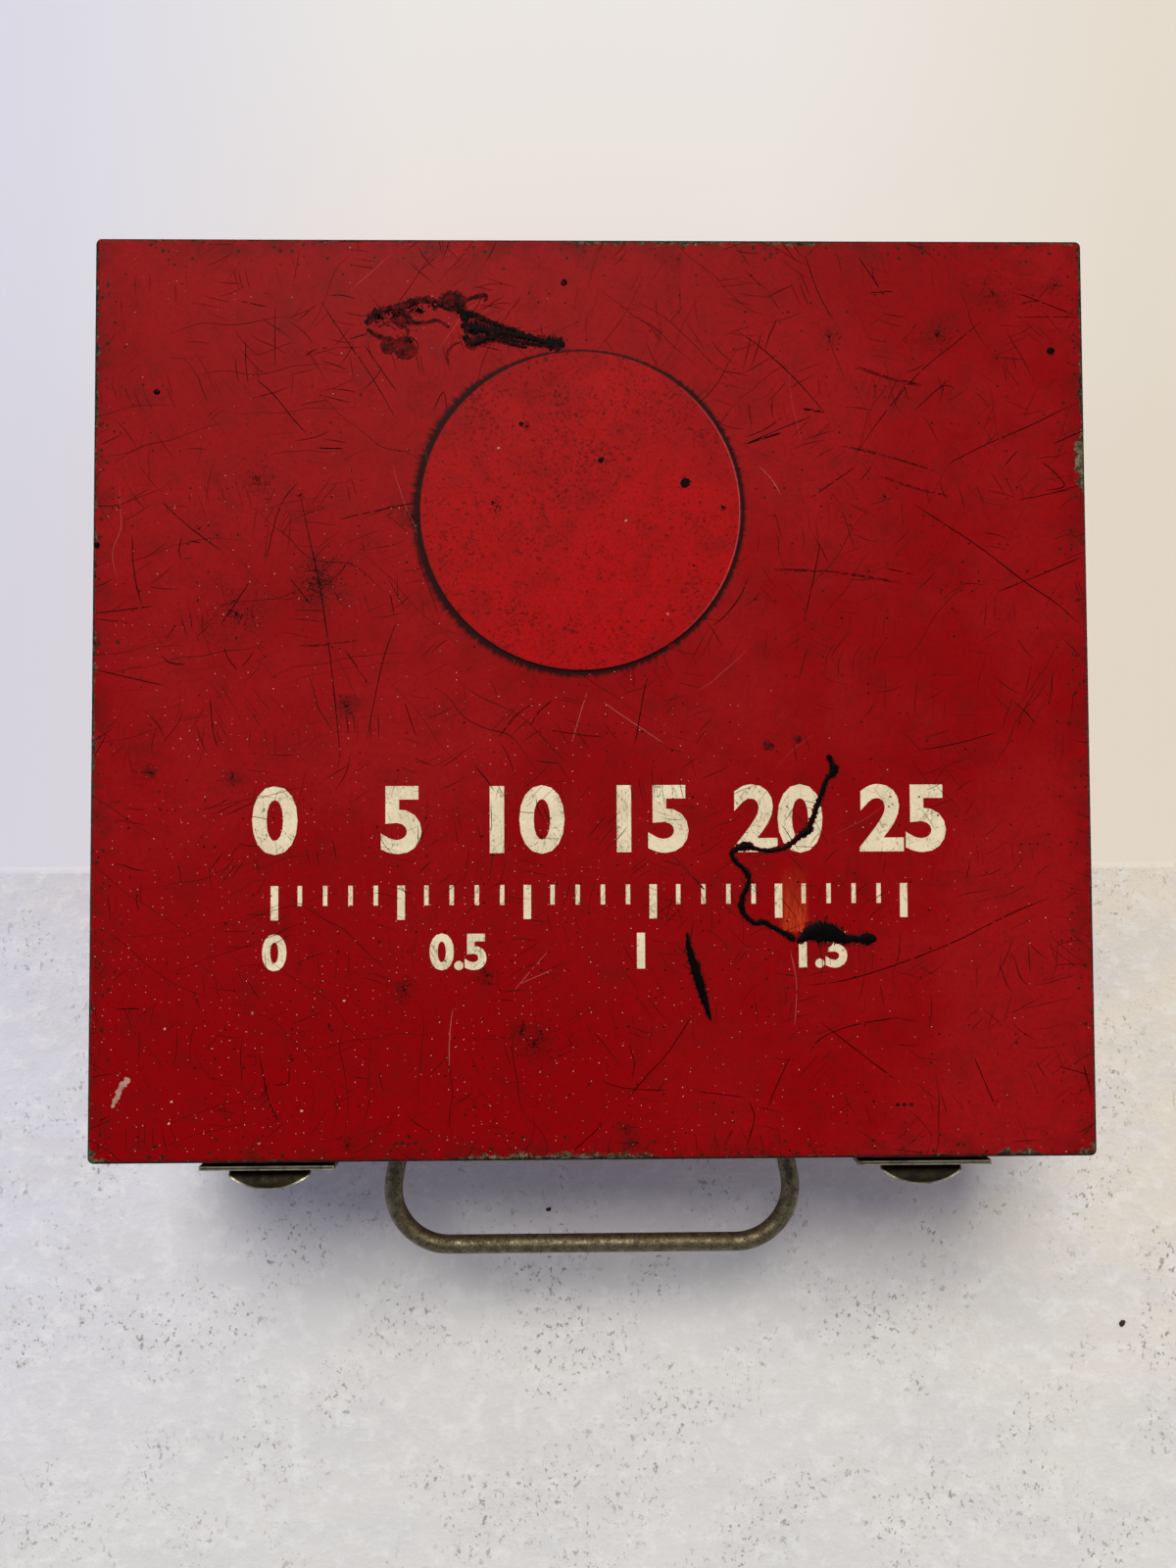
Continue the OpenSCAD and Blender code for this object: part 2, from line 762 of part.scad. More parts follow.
// Turned cross handle: straight middle, tapering to two rounded ends
module plunger_grip() {
    middle = grip_len * 0.4;
    taper = 2;
    edge_r = 3;
    end_z = grip_len / 2 - edge_r;
    color("#1c1a19") translate([grip_x, pump_y, pump_z]) difference() {
        rotate([-90, 0, 0]) {
            cylinder(r = grip_r, h = middle, center = true);
            for (s = [0, 1]) mirror([0, 0, s]) {
                translate([0, 0, middle / 2])
                    cylinder(r1 = grip_r, r2 = grip_r - taper, h = end_z - middle / 2);
                translate([0, 0, end_z]) rotate_extrude()
                    translate([grip_r - taper - edge_r, 0]) circle(edge_r);
                translate([0, 0, end_z - 1]) cylinder(r = grip_r - taper - edge_r, h = edge_r + 1);
            }
        }
        x_rod(-2 * grip_r, 2 * grip_r, rod_r - 1 + seat_gap);
        // Flat seats for the rod's shoulder and for the nut
        x_rod(-2 * grip_r, -grip_r + 2, rod_r + 1);
        x_rod(grip_r - 1.5, 2 * grip_r, 7);
    }
}

module grip_nut() {
    color("silver") translate([grip_x + grip_r - 1.5, pump_y, pump_z]) difference() {
        union() {
            rotate([0, 90, 0]) hex_prism(10, 4);
            x_rod(0, grip_nut_len - 1.5, 4.6);
            translate([grip_nut_len - 3.2, 0, 0]) intersection() {
                sphere(4.6);
                x_rod(0, 4.6, 4.6);
            }
        }
        x_rod(-1, 6.5, rod_r - 1 + seat_gap);
    }
}

module piston_plate() {
    color("silver") on_pump() difference() {
        x_rod(piston_end - piston_plate_t, piston_end, barrel_bore - piston_clear - 0.5);
        x_rod(piston_x, piston_end + 1, rod_r - 1 + seat_gap);
    }
}

// Leather cup, open towards the manifold
module piston_cup() {
    lip = barrel_bore - piston_clear;
    color("saddlebrown") on_pump() difference() {
        x_rod(piston_x + piston_nut_t, piston_x + piston_nut_t + cup_len, lip);
        x_rod(piston_x, piston_x + piston_nut_t + cup_len - 2.5, lip - 2.5);
        x_rod(piston_x, piston_end + 1, rod_r - 1 + seat_gap);
    }
}

module piston_nut() {
    color("goldenrod") on_pump() difference() {
        translate([piston_x + piston_nut_t + cup_len - 2.5 - 4, 0, 0]) rotate([0, 90, 0]) hex_prism(10, 4);
        x_rod(piston_x - 1, piston_end + 1, rod_r - 1 + seat_gap);
    }
}

// ---------- manifold and valves ----------

module manifold_body() {
    color("lightgray") difference() {
        union() {
            on_pump() {
                x_rod(manifold_x0 + 3, manifold_x1, manifold_r);
                x_rod(manifold_x0, manifold_x1, manifold_r - 3);
                translate([manifold_x0 + 3, 0, 0]) rotate([0, 90, 0])
                    rotate_extrude() translate([manifold_r - 3, 0]) circle(3);
            }
            translate([gauge_x, pump_y, pump_z]) cylinder(r = gauge_boss_r, h = gauge_boss_top - pump_z);
            translate([port_x, 0, pump_z]) y_rod(pump_y, port_face_y, port_boss_r);
            translate([relief_x, 0, pump_z]) y_rod(relief_boss_y, pump_y, relief_boss_r);
        }
        on_pump() {
            x_rod(manifold_x1 - socket_depth, manifold_x1 + 1, barrel_r);
            x_rod(manifold_x0 - 1, valve_x, chamber_r);
            x_rod(valve_x - 1, manifold_x1, port_bore - 0.5);
        }
        translate([gauge_x, pump_y, pump_z]) cylinder(r = port_bore, h = 2 * manifold_r);
        translate([port_x, 0, pump_z]) y_rod(pump_y, port_face_y + 1, port_bore);
        translate([relief_x, 0, pump_z]) y_rod(relief_boss_y - 1, pump_y, port_bore + 0.6);
    }
}

module end_plug() {
    color("goldenrod") on_pump() {
        x_rod(manifold_x0 - 1, manifold_x0 + plug_depth, chamber_r);
        x_rod(manifold_x0 - 1.2, manifold_x0, chamber_r + 3.5);
        translate([manifold_x0 - 6, 0, 0]) rotate([0, 90, 0]) hex_prism(hex_flats, 5);
    }
}

module valve_disc() {
    color("black") on_pump() {
        x_rod(valve_x - valve_t - valve_gap, valve_x - valve_gap, valve_r);
        x_rod(valve_x - valve_t - 3, valve_x - valve_t, valve_spring_r - 1.2);
    }
}

module valve_spring() {
    reach = valve_x - valve_t - valve_gap - manifold_x0 - plug_depth - 0.02;
    color("silver") on_pump() translate([manifold_x0 + plug_depth + 0.01, 0, 0]) rotate([0, 90, 0])
        coil(valve_spring_r, 0.5, reach, 8);
}

// Brass seat of the relief valve, screwed into its boss
module relief_body() {
    color("goldenrod") translate([relief_x, 0, pump_z]) difference() {
        union() {
            translate([0, relief_boss_y, 0]) rotate([90, 0, 0]) hex_prism(15, 4);
            y_rod(relief_boss_y - relief_body_len, relief_boss_y, 6.6);
            y_rod(relief_boss_y - 1, relief_boss_y + 7, port_bore + 0.6);
        }
        y_rod(relief_boss_y - relief_body_len - 1, relief_boss_y - 2, 5.2);
        y_rod(relief_boss_y - 3, relief_boss_y + 8, relief_stem_r + run_gap);
    }
}

// Push button: pressing it lifts the relief valve off its seat
module relief_button() {
    head_y0 = relief_boss_y - relief_body_len - relief_travel - 1;
    color("crimson") translate([relief_x, 0, pump_z]) {
        y_rod(head_y0, relief_boss_y + 3, relief_stem_r);
        y_rod(head_y0 - 2.5, head_y0, 7);
        translate([0, head_y0 - 2.5, 0]) intersection() {
            translate([0, 11, 0]) sphere(13);
            y_rod(-4, 0.5, 7);
        }
    }
}

module relief_spring() {
    head_y0 = relief_boss_y - relief_body_len - relief_travel - 1;
    color("silver") translate([relief_x, head_y0 + 0.05, pump_z]) rotate([-90, 0, 0])
        coil(3.6, 0.45, relief_boss_y - 2 - head_y0 - 0.1, 5);
}

// ---------- gauge ----------

module gauge_stem() {
    color("goldenrod") translate([gauge_x, pump_y, 0]) difference() {
        union() {
            translate([0, 0, pump_z + chamber_r + 4]) cylinder(r = port_bore, h = gauge_boss_top - pump_z - chamber_r - 4);
            translate([0, 0, gauge_boss_top]) hex_prism(hex_flats, stem_gap);
            translate([0, 0, gauge_z]) cylinder(r = 4, h = 6);
        }
        translate([0, 0, pump_z]) cylinder(r = 1.5, h = gauge_z - pump_z + 4);
    }
}

module gauge_case() {
    color("#24262a") translate([gauge_x, pump_y, gauge_z]) difference() {
        union() {
            translate([0, 0, 3]) cylinder(r = gauge_r, h = gauge_h - 3);
            cylinder(r = gauge_r - 3, h = 4);
            translate([0, 0, 3]) rotate_extrude() translate([gauge_r - 3, 0]) circle(3);
        }
        translate([0, 0, gauge_wall]) cylinder(r = gauge_r - 3, h = gauge_h);
        translate([0, 0, 4]) cylinder(r = gauge_r - gauge_wall, h = gauge_h);
        translate([0, 0, -1]) cylinder(r = 4, h = gauge_h);
    }
}

// Rolled rim that holds the glass on the gauge
module gauge_bezel() {
    z0 = gauge_z + gauge_h - bezel_down;
    color("silver") translate([gauge_x, pump_y, z0]) difference() {
        union() {
            cylinder(r = bezel_r, h = bezel_h - 2);
            translate([0, 0, bezel_h - 2]) rotate_extrude() translate([bezel_r - 2, 0]) circle(2);
            cylinder(r = bezel_r - 2, h = bezel_h);
        }
        translate([0, 0, -1]) cylinder(r = gauge_r + seat_gap, h = bezel_down + 1 + lens_t);
        translate([0, 0, -1]) cylinder(r = gauge_r - 3, h = 2 * bezel_h);
    }
}

module gauge_lens() {
    color([0.85, 0.92, 0.95, 0.35]) translate([gauge_x, pump_y, gauge_z + gauge_h])
        cylinder(r = gauge_r, h = lens_t);
}

module gauge_dial() {
    color("white") translate([gauge_x, pump_y, dial_z]) difference() {
        cylinder(r = gauge_r - gauge_wall - 0.1, h = dial_t);
        translate([0, 0, -1]) cylinder(r = spindle_r + 0.6, h = dial_t + 2);
    }
}

// Tapered needle at rest on zero, at the lower left of the dial, with a short tail
module gauge_needle() {
    color("black") translate([gauge_x, pump_y, needle_z]) rotate([0, 0, 225]) difference() {
        union() {
            linear_extrude(0.6) polygon([[-8, -1.2], [-8, 1.2], [0, 1.4], [gauge_r - 8, 0.3], [gauge_r - 8, -0.3], [0, -1.4]]);
            cylinder(r = 2.6, h = 1.6);
        }
        translate([0, 0, -1]) cylinder(r = spindle_r + run_gap, h = 4);
    }
}

// Movement plate and the spindle that carries the needle
module gauge_spindle() {
    plate_z = dial_z - 5;
    color("goldenrod") translate([gauge_x, pump_y, 0]) {
        translate([0, 0, gauge_z + 6]) cylinder(r = 3, h = plate_z - gauge_z - 6);
        translate([-9, -6, plate_z]) cube([18, 12, 1.2]);
        for (s = [-1, 1])
            translate([s * 7, 0, plate_z]) cylinder(r = 1.2, h = dial_z - plate_z);
        translate([0, 0, plate_z + 1.2]) cylinder(r = spindle_r, h = needle_z + 2.2 - plate_z - 1.2);
    }
}

// Curved pressure tube round the inside of the gauge, fed from the stem
module bourdon_tube() {
    tube_r = 2.2;
    bend_r = gauge_r - 10;
    color("darkgoldenrod") translate([gauge_x, pump_y, gauge_z + 5]) difference() {
        union() {
            rotate([0, 0, -90]) rotate_extrude(angle = 270) translate([bend_r, 0]) circle(tube_r);
            translate([-1.6, -bend_r, -1.6]) cube([3.2, bend_r - 3.9, 3.2]);
        }
        translate([0, 0, -5]) cylinder(r = 4, h = 12);
    }
}

// ---------- hose ----------

// Moves a child to the start of the hose, with Z along the hose and X downward
module at_hose_start() {
    translate([port_x, hose_y0, pump_z]) rotate([0, 90, 90]) children();
}

module hose() {
    color("#202022") at_hose_start() difference() {
        bar(HOSE_LEGS, hose_r);
        bar(HOSE_LEGS, hose_bore);
    }
}

module pump_nipple() {
    color("goldenrod") translate([port_x, 0, pump_z]) difference() {
        union() {
            translate([0, port_face_y + nipple_hex, 0]) rotate([90, 0, 0]) hex_prism(hex_flats, nipple_hex);
            y_rod(port_face_y - nipple_in, port_face_y, port_bore);
            y_rod(port_face_y, hose_y0 + barb_len, hose_bore - seat_gap);
        }
        y_rod(port_face_y - nipple_in - 1, hose_y0 + barb_len + 1, barb_bore);
    }
}

// Crimped sleeve over one end of the hose, its open end at z = 0
module ferrule() {
    difference() {
        cylinder(r = hose_r + 1.2, h = ferrule_len);
        translate([0, 0, -1]) cylinder(r = hose_r + seat_gap, h = ferrule_len + 2);
        for (k = [4, 8, 12])
            translate([0, 0, k]) rotate_extrude() translate([hose_r + 1.9, 0]) circle(1.1);
    }
}

module hose_ferrules() {
    color("silver") {
        at_hose_start() ferrule();
        translate([hose_end_x, head_y, head_z]) rotate([0, 90, 0]) ferrule();
    }
}

// ---------- test head ----------

// Moves a child to the mouth of the test head: Z runs from the hose end towards the mouth
module on_head() {
    translate([hose_end_x, head_y, head_z]) rotate([0, -90, 0]) children();
}

// Cup that drops over a filler neck: fluted skirt and two inward ears
module head_shell() {
    z0 = head_hex + 1;
    inner = head_r - head_wall;
    color("lightgray") on_head() difference() {
        union() {
            translate([0, 0, z0 + 2]) cylinder(r = head_r, h = head_len - 2);
            translate([0, 0, z0]) cylinder(r = head_r - 2, h = 3);
            translate([0, 0, z0 + 2]) rotate_extrude() translate([head_r - 2, 0]) circle(2);
        }
        translate([0, 0, z0 + head_top]) cylinder(r = inner, h = head_len - head_top - ear_t);
        translate([0, 0, -1]) cylinder(r = stem_r + run_gap, h = 30);
        // The mouth: full width except where the two ears turn in
        translate([0, 0, z0 + head_len - ear_t - 1]) linear_extrude(ear_t + 2) difference() {
            circle(inner);
            difference() {
                square([4 * inner, 18], center = true);
                circle(inner - ear_in);
            }
        }
        for (i = [0:flute_count - 1])
            rotate([0, 0, (i + 0.5) * 360 / flute_count])
                translate([head_r + 1.6, 0, z0 + 4]) cylinder(r = 2.4, h = head_len - 12);
    }
}

// Hollow stem from the hose to the seal; the shell turns freely on it
module head_stem() {
    z0 = head_hex + 1 + head_top + move_gap;
    color("goldenrod") on_head() difference() {
        union() {
            translate([0, 0, -barb_len]) cylinder(r = hose_bore - seat_gap, h = barb_len + 1);
            hex_prism(hex_flats, head_hex);
            cylinder(r = stem_r, h = z0 + 1);
            translate([0, 0, z0]) cylinder(r = collar_r, h = collar_t);
            cylinder(r = stem_r - 1, h = z0 + collar_t + seal_gap + seal_plate_t + 2);
        }
        translate([0, 0, -barb_len - 1]) cylinder(r = barb_bore, h = 60);
    }
}

module head_seal_plate() {
    z0 = head_hex + 1 + head_top + move_gap + collar_t + seal_gap;
    color("silver") on_head() translate([0, 0, z0]) difference() {
        cylinder(r = seal_plate_r, h = seal_plate_t);
        translate([0, 0, -1]) cylinder(r = stem_r - 1 + seat_gap, h = 4);
    }
}

module head_seal() {
    z0 = head_hex + 1 + head_top + move_gap + collar_t + seal_gap + seal_plate_t;
    color("black") on_head() translate([0, 0, z0]) difference() {
        union() {
            cylinder(r = seal_r - 1, h = seal_t);
            translate([0, 0, 1]) rotate_extrude() translate([seal_r - 1, 0]) circle(1);
        }
        translate([0, 0, 2]) cylinder(r = seal_r - 5, h = seal_t);
        translate([0, 0, -1]) cylinder(r = stem_r - 1 + seat_gap, h = 4);
    }
}

module head_spring() {
    z0 = head_hex + 1 + head_top + move_gap + collar_t;
    color("silver") on_head() translate([0, 0, z0 + 0.05]) coil(13.5, 1, seal_gap - 0.1, 3);
}

// ---------- cap adapter ----------

// Two-ended neck: the test head locks on one flange and a radiator cap on the other
module adapter_body() {
    color("silver") translate([adapter_x, adapter_y, adapter_z]) difference() {
        union() {
            cylinder(r = adapter_neck_r, h = adapter_h);
            for (z = [0, adapter_h - adapter_flange_t])
                translate([0, 0, z]) cylinder(r = adapter_flange_r, h = adapter_flange_t);
            // Stop rings under both flanges
            for (z = [adapter_flange_t + 6, adapter_h - adapter_flange_t - 8])
                translate([0, 0, z]) cylinder(r = adapter_neck_r + 1.6, h = 2);
        }
        translate([0, 0, -1]) cylinder(r = neck_bore, h = adapter_seat + 1);
        translate([0, 0, -1]) cylinder(r = neck_bore - 4, h = adapter_h + 2);
        translate([0, 0, adapter_h - adapter_rim]) cylinder(r = neck_bore, h = adapter_rim + 1);
        // Entry notches for the ears, one pair in each flange
        for (z = [-1, adapter_h - adapter_flange_t - 0.5], s = [-1, 1])
            translate([s * (adapter_flange_r + 0.5) - 4, -8, z]) intersection() {
                cube([8, 16, adapter_flange_t + 1.5]);
                translate([4 - s * (adapter_flange_r + 0.5), 8, 0]) difference() {
                    cylinder(r = 2 * adapter_flange_r, h = adapter_flange_t + 1.5);
                    translate([0, 0, -1]) cylinder(r = adapter_neck_r, h = adapter_flange_t + 4);
                }
            }
    }
}

module adapter_gasket() {
    color("black") translate([adapter_x, adapter_y, adapter_top - adapter_rim]) difference() {
        cylinder(r = neck_bore - 0.1, h = gasket_h);
        translate([0, 0, -1]) cylinder(r = neck_bore - 4, h = gasket_h + 2);
    }
}

// ---------- holders welded to the floor ----------

// Spring saddle under the barrel, open at the top, on two folded feet
module pump_clip(x) {
    inner = barrel_r + seat_gap;
    outer = inner + pump_clip_t;
    x_profile(x, pump_clip_w) translate([pump_y, 0]) difference() {
        union() {
            translate([0, pump_z]) circle(outer);
            for (s = [-1, 1]) {
                translate([s * pump_clip_leg - pump_clip_t / 2, floor_z]) square([pump_clip_t, pump_clip_leg]);
                translate([s * (pump_clip_leg + pump_clip_foot / 2) - pump_clip_foot / 2, floor_z])
                    square([pump_clip_foot, pump_clip_t]);
            }
        }
        translate([0, pump_z]) circle(inner);
        translate([-inner, pump_z + inner * 0.55]) square(2 * inner);
    }
}

module pump_clips() {
    color("silver") {
        pump_clip(manifold_x1 + pump_clip_in);
        pump_clip(barrel_end - cap_over - pump_clip_out);
    }
}

// Small open clip under the hose, drawn across it and standing on the floor
module hose_clip_outline() {
    inner = hose_r + hose_clip_fit;
    outer = inner + hose_clip_t;
    difference() {
        union() {
            translate([0, hose_z]) circle(outer);
            translate([-hose_clip_foot / 2, floor_z]) square([hose_clip_foot, hose_clip_t]);
        }
        translate([0, hose_z]) circle(inner);
        translate([-inner, hose_z + inner * 0.5]) square(2 * inner);
    }
}

module hose_clips() {
    y_clip = back_run_y - hose_corner - left_run / 2;
    color("silver") {
        for (t = [0.25, 0.75])
            x_profile(port_x + hose_corner + t * back_run, hose_clip_w)
                translate([back_run_y, 0]) hose_clip_outline();
        translate([port_x, y_clip, 0]) rotate([90, 0, 0])
            linear_extrude(hose_clip_w, center = true) hose_clip_outline();
        translate([loop_x + hose_loop, back_run_y - hose_loop, 0]) rotate([90, 0, 0])
            linear_extrude(hose_clip_w, center = true) hose_clip_outline();
    }
}

// Two upright plates cut to the head's curve, on one folded floor strip
module head_cradle() {
    seat_r = head_r + cradle_gap;
    wide = 30;
    zb = floor_z + cradle_t;
    x0 = hose_end_x - head_hex - 1 - head_len;
    color("silver") {
        translate([x0 + 3, head_y - wide / 2, floor_z]) cube([head_len - 6, wide, cradle_t]);
        for (x = [x0 + 3.75, x0 + head_len - 3.75])
            x_profile(x, cradle_t) difference() {
                translate([head_y - wide / 2, floor_z]) square([wide, 12]);
                translate([head_y, head_z]) circle(seat_r);
            }
    }
}

// Shallow cup that the adapter stands in
module adapter_cup() {
    color("silver") translate([adapter_x, adapter_y, floor_z]) difference() {
        cylinder(r = adapter_flange_r + 0.3 + cup_wall, h = 1 + cup_rise);
        translate([0, 0, 1]) cylinder(r = adapter_flange_r + 0.3, h = cup_rise + 1);
        translate([0, 0, -1]) cylinder(r = 14, h = 4);
    }
}

case_base();
rim_strip();
case_lid();
lid_disc();
hinge_base_leaf();
hinge_lid_leaf();
hinge_pin();
latch_keepers();
keeper_rivets();
latch_leaves();
leaf_rivets();
latch_pins();
hasp_left();
hasp_right();
handle_wire();
handle_clips();
handle_rivets();
pump_barrel();
pump_end_cap();
rod_bush();
barrel_gasket();
plunger_rod();
plunger_grip();
grip_nut();
piston_plate();
piston_cup();
piston_nut();
manifold_body();
end_plug();
valve_disc();
valve_spring();
relief_body();
relief_button();
relief_spring();
gauge_stem();
gauge_case();
gauge_bezel();
gauge_lens();
gauge_dial();
gauge_needle();
gauge_spindle();
bourdon_tube();
hose();
pump_nipple();
hose_ferrules();
head_shell();
head_stem();
head_seal_plate();
head_seal();
head_spring();
adapter_body();
adapter_gasket();
pump_clips();
hose_clips();
head_cradle();
adapter_cup();
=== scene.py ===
"""Looks of a cooling-system pressure tester in its old red steel case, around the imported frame."""

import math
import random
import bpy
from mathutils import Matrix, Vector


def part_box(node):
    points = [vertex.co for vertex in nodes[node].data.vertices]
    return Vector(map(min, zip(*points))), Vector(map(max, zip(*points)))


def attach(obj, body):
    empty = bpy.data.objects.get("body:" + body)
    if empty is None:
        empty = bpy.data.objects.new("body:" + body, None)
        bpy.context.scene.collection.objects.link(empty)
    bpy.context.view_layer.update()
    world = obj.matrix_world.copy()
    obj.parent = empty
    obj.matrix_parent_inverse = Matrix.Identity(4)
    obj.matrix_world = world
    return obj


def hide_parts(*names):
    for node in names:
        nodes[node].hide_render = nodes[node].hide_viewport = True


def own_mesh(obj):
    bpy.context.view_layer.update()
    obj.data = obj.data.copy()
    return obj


bl_info = {
    "name": "Pressure tester looks",
    "version": (1, 0, 0),
    "blender": (4, 5, 0),
    "location": "View3D > Sidebar > Tester",
    "description": "Finishes, printed scale, drips, hose and dial of a pressure tester in its steel case",
    "category": "Object",
}

import bmesh
import bpy
from bpy.props import FloatProperty, FloatVectorProperty, IntProperty, PointerProperty
from mathutils import Euler, Matrix, Vector

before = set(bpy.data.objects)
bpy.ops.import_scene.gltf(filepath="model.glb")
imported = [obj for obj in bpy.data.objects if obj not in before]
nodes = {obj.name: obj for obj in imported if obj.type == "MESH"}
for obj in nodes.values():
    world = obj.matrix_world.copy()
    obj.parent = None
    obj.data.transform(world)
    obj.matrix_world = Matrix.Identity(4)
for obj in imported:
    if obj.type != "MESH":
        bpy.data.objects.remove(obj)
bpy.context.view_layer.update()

# Sizes read from the frame, in mm
MM = 0.001
LID_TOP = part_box("case_lid")[1].z / MM
CASE_LOW, CASE_HIGH = (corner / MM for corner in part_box("case_base"))
DISC_LOW, DISC_HIGH = (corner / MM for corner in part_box("lid_disc"))
DISC_MIDDLE = ((DISC_LOW.x + DISC_HIGH.x) / 2, (DISC_LOW.y + DISC_HIGH.y) / 2)
DISC_RADIUS = (DISC_HIGH.x - DISC_LOW.x) / 2
DIAL_LOW, DIAL_HIGH = (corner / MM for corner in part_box("gauge_dial"))
DIAL_MIDDLE = ((DIAL_LOW.x + DIAL_HIGH.x) / 2, (DIAL_LOW.y + DIAL_HIGH.y) / 2)

# How far above the lid, in mm, the foot of each film lies: what lies over another is a little higher
PRINT_FOOT, TAR_FOOT, FILM_FOOT, GRIME_FOOT, SCRATCH_FOOT, CRUMB_FOOT = 0.004, 0.01, 0.026, 0.028, 0.03, 0.034
# The same above the disc, for tar and stains and for grime
DISC_TAR_FOOT, DISC_GRIME_FOOT = 0.004, 0.006


# ---------- colours, nodes and meshes ----------

def linear(code):
    """An sRGB hex colour such as #8F1418 as linear red, green, blue and full alpha."""
    parts = [int(code[i:i + 2], 16) / 255 for i in (1, 3, 5)]
    return tuple(p / 12.92 if p <= 0.04045 else ((p + 0.055) / 1.055) ** 2.4 for p in parts) + (1.0,)


def put(tree, kind, feeds=(), out=0, stops=None, **settings):
    """Adds one node with its settings, feeds its inputs in order or by name with values or other
    nodes' outputs, and returns one of its outputs. A map range that is given no end values runs from 0 to 1."""
    node = tree.nodes.new("ShaderNode" + kind)
    for key, value in settings.items():
        setattr(node, key, value)
    for key, value in (feeds.items() if isinstance(feeds, dict) else enumerate(feeds)):
        if isinstance(value, bpy.types.NodeSocket):
            tree.links.new(value, node.inputs[key])
        elif value is not None:
            node.inputs[key].default_value = value
    for i, (place, colour) in enumerate(stops or ()):
        stop = node.color_ramp.elements[i] if i < 2 else node.color_ramp.elements.new(place)
        stop.position, stop.color = place, colour
    return node.outputs[out]


def blank(name):
    """A new material and its empty node tree."""
    material = bpy.data.materials.new(name)
    material.use_nodes = True
    material.node_tree.nodes.clear()
    return material, material.node_tree


def shaded(material, feeds):
    """Ends a material with one Principled shader whose inputs are fed by name, and returns the material."""
    tree = material.node_tree
    surface = put(tree, "BsdfPrincipled", feeds)
    tree.links.new(surface, tree.nodes.new("ShaderNodeOutputMaterial").inputs["Surface"])
    return material


def coats(tree, colour, *layers):
    """Lays coats over a first colour: each has a share from 0 to 1, how much of it counts, and its colour."""
    for share, weight, over in layers:
        if weight != 1.0:
            share = put(tree, "Math", (share, weight), operation="MULTIPLY")
        under, over = (linear(c) if isinstance(c, str) else c for c in (colour, over))
        colour = put(tree, "Mix", {0: share, 6: under, 7: over}, out=2, data_type="RGBA")
    return colour


def near(tree, value, middle, half, soft):
    """1 where a value lies within half of a middle, falling to 0 over a soft border."""
    away = put(tree, "Math", (put(tree, "Math", (value, middle), operation="SUBTRACT"),), operation="ABSOLUTE")
    return put(tree, "MapRange", (away, half, half + soft, 1.0, 0.0))


def overlap(tree, *masks):
    """The share where several masks, given as sockets or numbers, lie over one another."""
    share = masks[0]
    for mask in masks[1:]:
        share = put(tree, "Math", (share, mask), operation="MULTIPLY")
    return share


def millimetres(tree):
    """Object coordinates in millimetres."""
    return put(tree, "VectorMath", {0: put(tree, "TexCoord", out="Object"), "Scale": 1000.0}, operation="SCALE")


def finish_node(material, *names):
    """Gives CAD nodes a procedural material in place of the frame's plain one."""
    for name in names:
        mesh = nodes[name].data
        mesh.materials.clear()
        mesh.materials.append(material)
        for face in mesh.polygons:
            face.material_index = 0


def add_piece(name, mesh, material, body):
    """A mesh object in the row frame that rides on a body and takes its finish from a slot."""
    piece = bpy.data.objects.new(name, mesh)
    bpy.context.scene.collection.objects.link(piece)
    mesh.materials.clear()
    mesh.materials.append(material)
    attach(piece, body)
    return piece


def build_piece(name, shape, material, body, smooth=True):
    """Adds a piece whose mesh comes from a bmesh."""
    return add_piece(name, finished_mesh(name, shape, smooth), material, body)


def over_disc(x, y):
    """Whether a spot in mm lies on the round disc, which stands a little higher than the lid."""
    return math.dist((x, y), DISC_MIDDLE) < DISC_RADIUS


def curve_through(points, step):
    """Points with a width (x, y, width) resampled on a smooth curve through them, about step apart."""
    ends = [points[0]] + list(points) + [points[-1]]
    line = []
    for a, b, c, d in zip(ends, ends[1:], ends[2:], ends[3:]):
        n = max(1, round(math.dist(b[:2], c[:2]) / step))
        for i in range(n):
            t = i / n
            line.append([0.5 * (2 * b[k] + (c[k] - a[k]) * t + (2 * a[k] - 5 * b[k] + 4 * c[k] - d[k]) * t * t
                                + (3 * b[k] - a[k] - 3 * c[k] + d[k]) * t ** 3) for k in range(3)])
    line.append(list(points[-1]))
    return line


